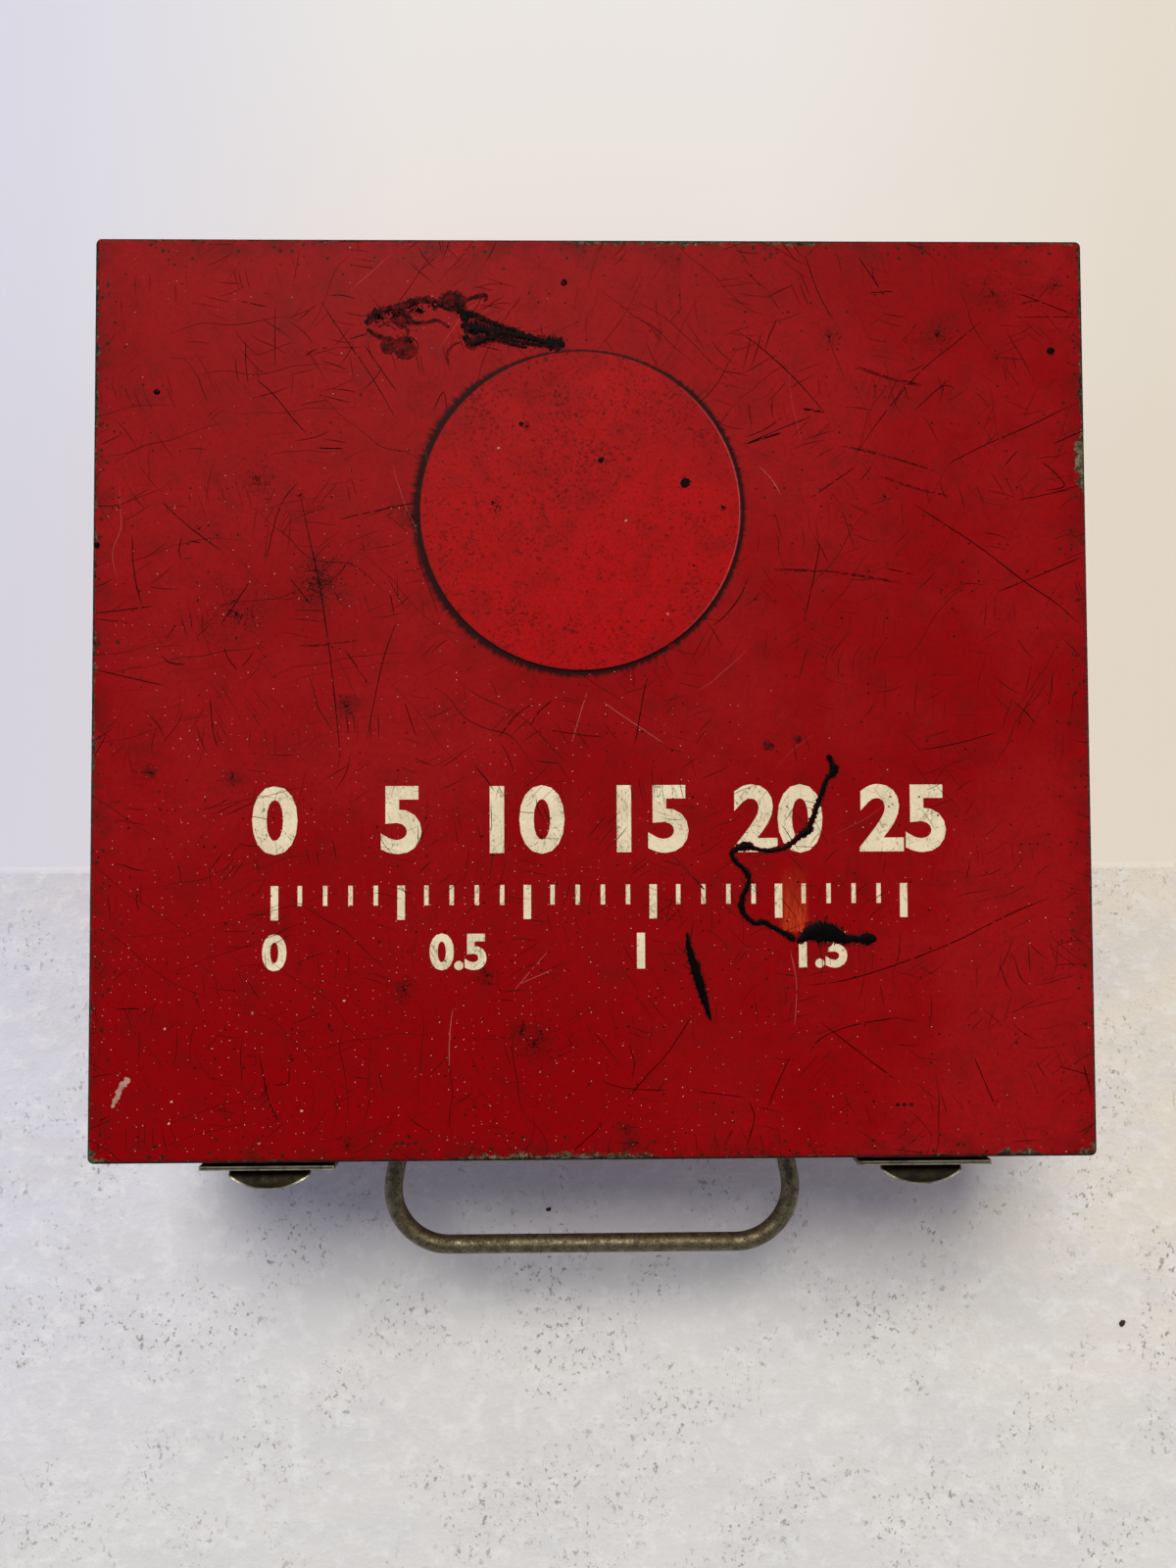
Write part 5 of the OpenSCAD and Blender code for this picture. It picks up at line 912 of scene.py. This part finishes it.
def grains_mesh(shape, x, y, reach, close, z, dice, size=1.0):
    """Adds grime to a bmesh as small flat grains, thick in the middle of a patch and thin at its rim."""
    sides = 6
    for _ in range(round(reach * reach * close * 5)):
        angle, far = dice.uniform(0, math.tau), abs(dice.gauss(0, 0.5)) * reach
        long, wide, turn = size * dice.uniform(0.10, 0.34), size * dice.uniform(0.07, 0.17), dice.uniform(0, math.pi)
        if dice.random() < 0.2:
            long, wide = long * 3.0, wide * 0.7
        corners = []
        for k in range(sides):
            t = k * math.tau / sides
            p, q = long * math.cos(t) * dice.uniform(0.7, 1.2), wide * math.sin(t) * dice.uniform(0.7, 1.2)
            across = x + far * math.cos(angle) + p * math.cos(turn) - q * math.sin(turn)
            up = y + far * math.sin(angle) + p * math.sin(turn) + q * math.cos(turn)
            corners.append(shape.verts.new(Vector((across, up, z)) * MM))
        shape.faces.new(corners)


class TESTER_OT_tar_drips(bpy.types.Operator):
    """Lays the dried tar, its thin stains and the paint chips on the lid"""
    bl_idname = "tester.tar_drips"
    bl_label = "Tar drips"

    def execute(self, context):
        dried = bitumen("dried_bitumen", "#090404", "#3C0E10", 0.52, 0.65)
        # The thin old runs were picked over and let the enamel through
        picked = bitumen("picked_bitumen", "#1A0706", "#5C1414", 0.46, 0.58)
        # The later spill is whole: jet black, with few worn spots
        whole = bitumen("whole_bitumen", "#080606", "#1C0B0B", 0.60, 0.74)
        # Tar that ran thin: a dark red film that lets the enamel show
        film = bitumen("thin_bitumen_film", "#3A0A0A", "#6A1212", 0.42, 0.60)
        # Old primer where the enamel chipped off: chalky, pinkish and dull
        primer = moulded("chipped_primer", "#C9A08C", "#6B3A2C", 0.7, 0.5)
        finishes = {**dict.fromkeys(FRESH_RUNS, whole), **dict.fromkeys(DRIED_RUNS, dried)}
        stains, crumbs, dots, chips = (bmesh.new() for _ in range(4))
        dice = random.Random(3)
        for seed, (name, run) in enumerate(TAR_RUNS.items()):
            shape = bmesh.new()
            rough, flat, cap = (0.22, 0.3, 0.36) if name in FRESH_RUNS else (0.6, 0.12, 0.12)
            drip_mesh(shape, run, LID_TOP + TAR_FOOT, rough, seed, flat, cap)
            build_piece(name, shape, finishes.get(name, picked), "lid")
            # A thin film shows round each run
            rim = [(x, y, width * 1.1 + 0.55) for x, y, width in run]
            drip_mesh(stains, rim, LID_TOP + FILM_FOOT, 0.4, 20 + seed, flat=0.004, cap=0.006)
            # Crumbs of tar lie along the older runs, close to their edges
            if name not in FRESH_RUNS or name == "tar_streak":
                for x, y, width in curve_through(run, 0.5):
                    grains_mesh(crumbs, x, y, width * 0.45 + 0.3, 1.3, LID_TOP + CRUMB_FOOT, dice)
        for seed, (x, y, radius) in enumerate(TAR_DOTS):
            z, height = (DISC_HIGH.z + DISC_TAR_FOOT, 0.03) if over_disc(x, y) else (LID_TOP + TAR_FOOT, 0.22)
            blot_mesh(dots, x, y, radius, z, seed, height)
        for x, y, reach, close in TAR_CRUMBS:
            grains_mesh(crumbs, x, y, reach, close, LID_TOP + CRUMB_FOOT, dice, size=1.4)
        for seed, run in enumerate(STAIN_RUNS.values()):
            drip_mesh(stains, run, LID_TOP + SCRATCH_FOOT, 0.35, 40 + seed, flat=0.04, cap=0.04)
        for seed, (x, y, radius) in enumerate(STAIN_DOTS):
            z = DISC_HIGH.z + DISC_TAR_FOOT if over_disc(x, y) else LID_TOP + FILM_FOOT
            blot_mesh(stains, x, y, radius, z, 60 + seed, height=0.01, uneven=0.4)
        drip_mesh(chips, CHIP_RUN, LID_TOP + PRINT_FOOT, 0.4, 90, flat=0.03, cap=0.03)
        for seed, (x, y) in enumerate(PAINT_CHIPS):
            z = (DISC_HIGH.z if over_disc(x, y) else LID_TOP) + PRINT_FOOT
            blot_mesh(chips, x, y, 0.3, z, 100 + seed, height=0.02, uneven=0.5)
        build_piece("tar_dots", dots, dried, "lid")
        build_piece("tar_crumbs", crumbs, dried, "lid", smooth=False)
        build_piece("thin_stains", stains, film, "lid")
        build_piece("paint_chips", chips, primer, "lid")
        return {"FINISHED"}


class TESTER_OT_lid_wear(bpy.types.Operator):
    """Lays the larger scratches and the rubbed-in grime on the lid"""
    bl_idname = "tester.lid_wear"
    bl_label = "Scratches and grime"

    def execute(self, context):
        # Scratched enamel shows dark oxidised primer, broken by paint that held on
        primer = bitumen("scratched_to_primer", "#140303", "#4A0807", 0.56, 0.70)
        # A wide blunt scrape only bruised the enamel and left it dark red
        scuffed = bitumen("scuffed_enamel", "#3C0807", "#690A0B", 0.42, 0.60)
        # Enamel that was only pressed turns paler and a little chalky
        bruised = moulded("bruised_enamel", "#9E3A35", "#8A1F1D", 0.5, 0.6)
        # Oil and dust rubbed into the film: dull brown-black grains
        grime = bitumen("rubbed_in_grime", "#260A08", "#4A120E", 0.45, 0.6)
        dice = random.Random(7)
        deep = [row for row in LID_SCRATCHES if row[0] <= SCUFF_WIDTH]
        wide = [row for row in LID_SCRATCHES if row[0] > SCUFF_WIDTH]
        for name, rows, finish, slot in (("lid_scratches", deep, primer, "needle_black"),
                                         ("lid_scuffs", wide, scuffed, "needle_black"),
                                         ("lid_pale_scratches", PALE_LID_SCRATCHES, bruised, "case_enamel")):
            shape = bmesh.new()
            for width, *points in rows:
                scratch_mesh(shape, points, width * 1.1, LID_TOP + SCRATCH_FOOT, dice)
            build_piece(name, shape, finish, "lid", smooth=False)
        shape = bmesh.new()
        for x, y, reach, close in SMUDGES:
            z = DISC_HIGH.z + DISC_GRIME_FOOT if over_disc(x, y) else LID_TOP + GRIME_FOOT
            grains_mesh(shape, x, y, reach, close, z, dice)
        build_piece("lid_grime", shape, grime, "lid", smooth=False)
        return {"FINISHED"}


class TESTER_OT_case_hardware(bpy.types.Operator):
    """Finishes the hinge, latches, rivets and wire handle"""
    bl_idname = "tester.case_hardware"
    bl_label = "Hinge, latches and handle"

    def execute(self, context):
        look = context.scene.tester_case
        # Zinc plated steel strip, darkened with age and, as painted shade, darker still to stand for the shade on the
        # latch tabs' faces; bright only where it rubs
        latch = metal("shaded_worn_zinc_latch_steel", "#261D0B", "#120D04", "#090602", 0.45, 0.8, cell=3.0, worn_edges=0.9,
                      metallic=0.8)
        finish_node(latch, "latch_keepers", "latch_leaves", "latch_pins", "hasp_left", "hasp_right", "handle_clips")
        # Drawn zinc plated wire, gone olive with fine black pitting
        wire = metal("aged_zinc_wire", look.zinc, "#50472F", "#120D07", 0.42, 0.95, cell=2.6, metallic=0.7)
        finish_node(wire, "handle_wire")
        # Rolled zinc plated strip: grey and satin, a little brighter along its edges
        hinge = metal("zinc_plated_hinge_steel", "#8E887A", "#615A4A", "#2A231A", 0.38, 0.6, cell=6.0, worn_edges=0.3)
        finish_node(hinge, "hinge_base_leaf", "hinge_lid_leaf", "hinge_pin")
        # Plated heads, upset cold: brighter than the strip round them, with dirt in spots
        rivets = metal("plated_rivet_steel", "#A09A8B", "#6C6555", "#241D15", 0.36, 0.6, cell=3.0)
        finish_node(rivets, "keeper_rivets", "leaf_rivets", "handle_rivets")
        return {"FINISHED"}


class TESTER_OT_pump(bpy.types.Operator):
    """Finishes the hand pump, its manifold and valves"""
    bl_idname = "tester.pump"
    bl_label = "Pump and valves"

    def execute(self, context):
        # Nickel plated tube, drawn and buffed: soft long reflections with fine lines along it
        nickel = metal("dull_nickel_plate", "#B9B5AB", "#948E80", "#4B443A", 0.24, 0.25, brushed=0.05, cell=22.0)
        finish_node(nickel, "pump_barrel", "pump_end_cap", "plunger_rod", "grip_nut", "gauge_bezel", "adapter_body")
        # Sand cast alloy: pale grey and satin, with a fine pebbled skin
        cast = metal("sand_cast_alloy", "#A3A29E", "#85837D", "#4A4741", 0.46, 0.45, cell=5.0, metallic=0.85)
        finish_node(cast, "manifold_body", "head_shell")
        # Turned brass, slightly browned
        brass = metal("turned_brass", "#B39247", "#8B6C33", "#3E2C15", 0.28, 0.3, cell=9.0)
        finish_node(brass, "rod_bush", "end_plug", "relief_body", "gauge_stem", "gauge_spindle", "bourdon_tube",
                    "pump_nipple", "hose_ferrules", "piston_nut", "head_stem")
        # Drawn spring wire: bright and smooth, with little tarnish
        spring = metal("bright_spring_steel", "#A9A8A3", "#85827A", "#3E3931", 0.28, 0.2, cell=4.0)
        finish_node(spring, "head_spring")
        # The relief and valve springs get coils of their own in the spring finish, in place of the frame's: each row
        # gives the node, its joint, the axis, the corner of the coil's box that stays put, and the travel in m
        for node, joint, axis, seat, travel in (("relief_spring", "relief_press", 1, 1, 0.0025),
                                                ("valve_spring", "check_valve_lift", 0, 0, 0.002)):
            coil = add_piece(node + "_coil", nodes[node].data.copy(), spring, "base")
            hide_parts(node)
            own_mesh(coil)
        # Black phenolic, turned and polished, its gloss dulled by palms
        finish_node(moulded("black_phenolic", "#191615", "#2E2A27", 0.22, 1.4, ior=1.6), "plunger_grip")
        # Red phenolic, moulded: a soft gloss, paler where thumbs press it
        finish_node(moulded("red_button_phenolic", "#9A1A18", "#B04038", 0.28, 1.2, ior=1.6), "relief_button")
        # Moulded seal rubber: matt black with a grey bloom
        seal = moulded("black_seal_rubber", "#161616", "#2C2B2A", 0.62, 0.5, ior=1.52)
        finish_node(seal, "barrel_gasket", "valve_disc", "head_seal", "adapter_gasket")
        # Pressed leather cup, soaked in oil: dark tan with a coarse grain
        finish_node(moulded("oiled_cup_leather", "#4A2C17", "#6B4526", 0.5, 0.9, ior=1.45, depth=0.8), "piston_cup")
        return {"FINISHED"}


# The dial's print: degrees of its first mark and of its sweep, its last number, then in mm how far out the marks
# end, the numerals stand and the arc runs, and how high over the dial the ink lies and how thick it is
DIAL_START, DIAL_SWEEP, DIAL_LAST = 225, 270, 30
MARKS_REACH, NUMERALS_REACH, ARC_REACH, DIAL_INK_FOOT, DIAL_INK_THICK = 28.6, 20.2, 28.8, 0.005, 0.03


class TESTER_OT_gauge(bpy.types.Operator):
    """Finishes the gauge and prints its dial"""
    bl_idname = "tester.gauge"
    bl_label = "Gauge"

    def execute(self, context):
        # Stoved black enamel on the pressed case: glossy, greyed where it is gripped
        finish_node(moulded("black_gauge_enamel", "#1C1D20", "#34353A", 0.3, 1.0), "gauge_case")
        # Dial paint, sprayed matt and gone cream; the needle's lacquer and the ink on it are as matt
        finish_node(moulded("matt_dial_white", "#E8E4D6", "#DAD3BF", 0.55, 2.0, depth=0.05), "gauge_dial")
        finish_node(moulded("matt_needle_black", "#121212", "#222222", 0.5, 0.6, depth=0.1), "gauge_needle")
        finish_node(clear_glass("clear_gauge_glass", "#F4F8F8"), "gauge_lens")
        ink = moulded("black_dial_ink", "#181716", "#2A2826", 0.5, 0.6, depth=0.05)
        shape = bmesh.new()
        z = DIAL_HIGH.z + DIAL_INK_FOOT

        def around(reach, angle):
            """A spot on the dial, in mm, at a distance from its middle."""
            return DIAL_MIDDLE[0] + reach * math.cos(angle), DIAL_MIDDLE[1] + reach * math.sin(angle)

        for value in range(DIAL_LAST + 1):
            angle = math.radians(DIAL_START - DIAL_SWEEP / DIAL_LAST * value)
            fifth = value % 5 == 0
            long, wide = (4.4, 0.75) if fifth else (2.4, 0.4)
            plate(shape, *around(MARKS_REACH - long / 2, angle), z, long, wide, DIAL_INK_THICK, angle)
            if fifth:
                numeral(shape, str(value), 4.2, *around(NUMERALS_REACH, angle), z, 0.1, DIAL_INK_THICK)
        # The arc outside the marks, laid as short bars end to end
        bars = 90
        for i in range(bars):
            angle = math.radians(DIAL_START - DIAL_SWEEP * (i + 0.5) / bars)
            plate(shape, *around(ARC_REACH, angle), z, 0.35, 1.62, DIAL_INK_THICK, angle)
        build_piece("dial_print", shape, ink, "base", smooth=False)
        return {"FINISHED"}


# The hose in mm, as in the frame: where it starts, the heights of its run on the floor and of the test head, the
# radii of its drops and of its corner, its first run and how far back its last run lies
HOSE_START, HOSE_FLOOR, HEAD_HEIGHT = (-98.0, -32.5, 24.2), 8.1, 29.9
DROP_RADIUS, CORNER_RADIUS, FIRST_RUN, BACK_ROW = 40.0, 44.0, 20.0, 102.0
# Its legs: a run's length, or a bend's radius, degrees and roll
HOSE_LEGS = (
    ("run", FIRST_RUN), ("bend", DROP_RADIUS, "down", 0), ("bend", DROP_RADIUS, "down", 180), ("run", "left"),
    ("bend", CORNER_RADIUS, 90.0, 90), ("run", 128.0), ("bend", DROP_RADIUS, 180.0, 0), ("run", 8.0),
    ("bend", DROP_RADIUS, "up", -90), ("bend", DROP_RADIUS, "up", 180), ("run", FIRST_RUN))
HOSE_BORE = 3.25  # radius of the hole at its ends, in mm


def hose_route():
    """Points along the hose and the directions across it, in mm, leg by leg as the frame lays it."""
    down = math.acos(1 - (HOSE_START[2] - HOSE_FLOOR) / (2 * DROP_RADIUS))
    up = math.acos(1 - (HEAD_HEIGHT - HOSE_FLOOR) / (2 * DROP_RADIUS))
    words = {"down": math.degrees(down), "up": math.degrees(up),
             "left": BACK_ROW - CORNER_RADIUS - HOSE_START[1] - FIRST_RUN - 2 * DROP_RADIUS * math.sin(down)}
    place = Vector(HOSE_START)
    turn = Matrix.Rotation(math.radians(90), 3, "Z") @ Matrix.Rotation(math.radians(90), 3, "Y")
    line = [(place.copy(), turn.copy())]
    for kind, *sizes in HOSE_LEGS:
        sizes = [words.get(size, size) for size in sizes]
        begin = place.copy()
        if kind == "run":
            count = max(2, round(sizes[0] / 4))
            for i in range(1, count + 1):
                line.append((begin + turn.col[2] * sizes[0] * i / count, turn.copy()))
        else:
            radius, angle, roll = sizes
            turn = turn @ Matrix.Rotation(math.radians(roll), 3, "Z")
            count = max(4, round(angle / 5))
            for i in range(1, count + 1):
                t = math.radians(angle) * i / count
                here = begin + turn.col[0] * radius * (1 - math.cos(t)) + turn.col[2] * radius * math.sin(t)
                line.append((here, turn @ Matrix.Rotation(t, 3, "Y")))
        place, turn = line[-1][0].copy(), line[-1][1].copy()
    return line


class TESTER_OT_hose(bpy.types.Operator):
    """Sweeps the rubber hose along its clipped route"""
    bl_idname = "tester.hose"
    bl_label = "Hose"

    def execute(self, context):
        look = context.scene.tester_hose
        sides, radius = 36, look.radius / MM
        shape = bmesh.new()
        rings = []
        side = None
        for place, turn in hose_route():
            along = Vector(turn.col[2]).normalized()
            side = Vector(turn.col[0]) if side is None else (side - along * side.dot(along)).normalized()
            other = along.cross(side)
            rings.append([shape.verts.new((place + radius * (side * math.cos(a) + other * math.sin(a))) * MM)
                          for a in (k * math.tau / sides for k in range(sides))])
        for low, high in zip(rings, rings[1:]):
            for k in range(sides):
                shape.faces.new((low[k], low[(k + 1) % sides], high[(k + 1) % sides], high[k]))
        for ring in (rings[0], rings[-1]):
            middle = sum((v.co for v in ring), Vector()) / sides
            inner = [shape.verts.new(middle + (v.co - middle) * HOSE_BORE / radius) for v in ring]
            for k in range(sides):
                shape.faces.new((ring[k], ring[(k + 1) % sides], inner[(k + 1) % sides], inner[k]))
        rubber = wrapped_rubber("wrapped_hose_rubber", look.black)
        piece = build_piece("hose_tube", shape, rubber, "base")
        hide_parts("hose")
        return {"FINISHED"}


class TESTER_OT_holders(bpy.types.Operator):
    """Finishes the clips, the cradle and the cup on the floor of the case"""
    bl_idname = "tester.holders"
    bl_label = "Holders"

    def execute(self, context):
        # Sprung steel strip, zinc plated: light grey and satin, bright on its bends
        zinc = metal("zinc_clip_steel", "#9C9A94", "#7C786F", "#38332B", 0.34, 0.45, cell=8.0, worn_edges=0.25)
        finish_node(zinc, "pump_clips", "hose_clips", "head_cradle", "adapter_cup", "piston_plate", "head_seal_plate")
        return {"FINISHED"}


# ---------- stage ----------

# The camera, solved from the photograph: its place in mm, its tilt in degrees, and its focal length and frame in mm
CAMERA_PLACE, CAMERA_TILT = (-5.977, -32.683, 388.459), (1.885, -0.861, -0.243)
FOCAL_LENGTH, FRAME_SIZE = 27.045, 36.0
# Two crumbs of soil on the floor, 1.5 and 2 mm across: x, y, radius and height in mm
SOIL_CRUMBS = ((-13.5, -158.6, 0.75, 0.6), (174.0, -197.1, 1.0, 0.8))
# The lamps, in m: name, kind and place, a sun's angle or a lamp's side, and tone
LAMPS = (("hinge_side_light", "SUN", (-0.12, 0.62, 1.0), math.radians(26), "#FFFBEF"),
         ("left_lamp", "AREA", (-1.1, -0.1, 0.7), 1.2, "#D3DCFF"),
         ("right_lamp", "AREA", (1.1, -0.1, 0.7), 1.2, "#FFE6C4"))


class TESTER_OT_stage(bpy.types.Operator):
    """Sets the pale floor, the soft light and the camera"""
    bl_idname = "tester.stage"
    bl_label = "Stage"

    def execute(self, context):
        scene, look = context.scene, context.scene.tester_stage
        ground, soil = bmesh.new(), bmesh.new()
        bmesh.ops.create_grid(ground, x_segments=1, y_segments=1, size=6.0, matrix=Matrix.Translation((0, 0, -0.0002)))
        for seed, (x, y, radius, height) in enumerate(SOIL_CRUMBS, 1):
            blot_mesh(soil, x, y, radius, 0.05, seed, height, uneven=0.4)
        # Dry soil: dark brown, dull and crumbly
        rim_ring = moulded("dark_soil", "#1A1410", "#33261C", 0.8, 0.4)
        for name, shape, finish in (("floor", ground, limewashed_board("limewashed_board", look.floor, look.wall)),
                                    ("soil_crumbs", soil, rim_ring)):
            part = bpy.data.objects.new(name, finished_mesh(name, shape, shape is soil))
            part.data.materials.append(finish)
            scene.collection.objects.link(part)

        # A pale room: bright round the horizon, dim overhead, so flat paint keeps its depth from above
        world = bpy.data.worlds.new("pale_room")
        scene.world = world
        world.use_nodes = True
        tree = world.node_tree
        tree.nodes.clear()
        height = put(tree, "SeparateXYZ", (put(tree, "TexCoord", out="Generated"),), out=2)
        level = put(tree, "MapRange", (height, 0.0, 1.0, look.world, look.world * 0.10))
        sky = put(tree, "Background", {"Color": linear("#DDE3FF"), "Strength": level})
        tree.links.new(sky, tree.nodes.new("ShaderNodeOutputWorld").inputs["Surface"])

        middle = Vector((0, 0, 0.05))
        for name, kind, place, size, tone in LAMPS:
            lamp = bpy.data.lights.new(name, kind)
            lamp.energy, lamp.color = look.light if kind == "SUN" else look.fill, linear(tone)[:3]
            setattr(lamp, "angle" if kind == "SUN" else "size", size)
            holder = bpy.data.objects.new(name, lamp)
            holder.location = place
            holder.rotation_euler = (middle - Vector(place)).to_track_quat("-Z", "Y").to_euler()
            scene.collection.objects.link(holder)

        lens = bpy.data.cameras.new("camera")
        lens.lens, lens.sensor_width, lens.sensor_fit, lens.clip_start = FOCAL_LENGTH, FRAME_SIZE, "AUTO", 0.01
        camera = bpy.data.objects.new("camera", lens)
        camera.location = Vector(CAMERA_PLACE) * MM
        camera.rotation_euler = Euler([math.radians(a) for a in CAMERA_TILT])
        scene.collection.objects.link(camera)
        scene.camera = camera
        scene.view_settings.view_transform = "Standard"
        return {"FINISHED"}


STEPS = (TESTER_OT_stage, TESTER_OT_case_enamel, TESTER_OT_scale_print, TESTER_OT_tar_drips, TESTER_OT_lid_wear,
         TESTER_OT_case_hardware, TESTER_OT_pump, TESTER_OT_gauge, TESTER_OT_hose, TESTER_OT_holders)


GROUPS = (("tester_case", CaseSettings), ("tester_print", PrintSettings), ("tester_hose", HoseSettings),
          ("tester_stage", StageSettings))


class TESTER_PT_looks(bpy.types.Panel):
    """Lists the steps that finish the tester"""
    bl_idname = "TESTER_PT_looks"
    bl_label = "Pressure tester"
    bl_space_type = "VIEW_3D"
    bl_region_type = "UI"
    bl_category = "Tester"

    def draw(self, context):
        for step in STEPS:
            self.layout.operator(step.bl_idname)
        for settings, kind in GROUPS:
            box = self.layout.box()
            for name in kind.__annotations__:
                box.prop(getattr(context.scene, settings), name)


def register():
    for name, kind in GROUPS:
        bpy.utils.register_class(kind)
        setattr(bpy.types.Scene, name, PointerProperty(type=kind))
    for kind in STEPS + (TESTER_PT_looks,):
        bpy.utils.register_class(kind)


def unregister():
    for kind in reversed(STEPS + (TESTER_PT_looks,)):
        bpy.utils.unregister_class(kind)
    for name, kind in reversed(GROUPS):
        delattr(bpy.types.Scene, name)
        bpy.utils.unregister_class(kind)


def main():
    register()
    for step in STEPS:
        getattr(bpy.ops.tester, step.bl_idname.split(".")[1])()


if __name__ == "__main__":
    main()
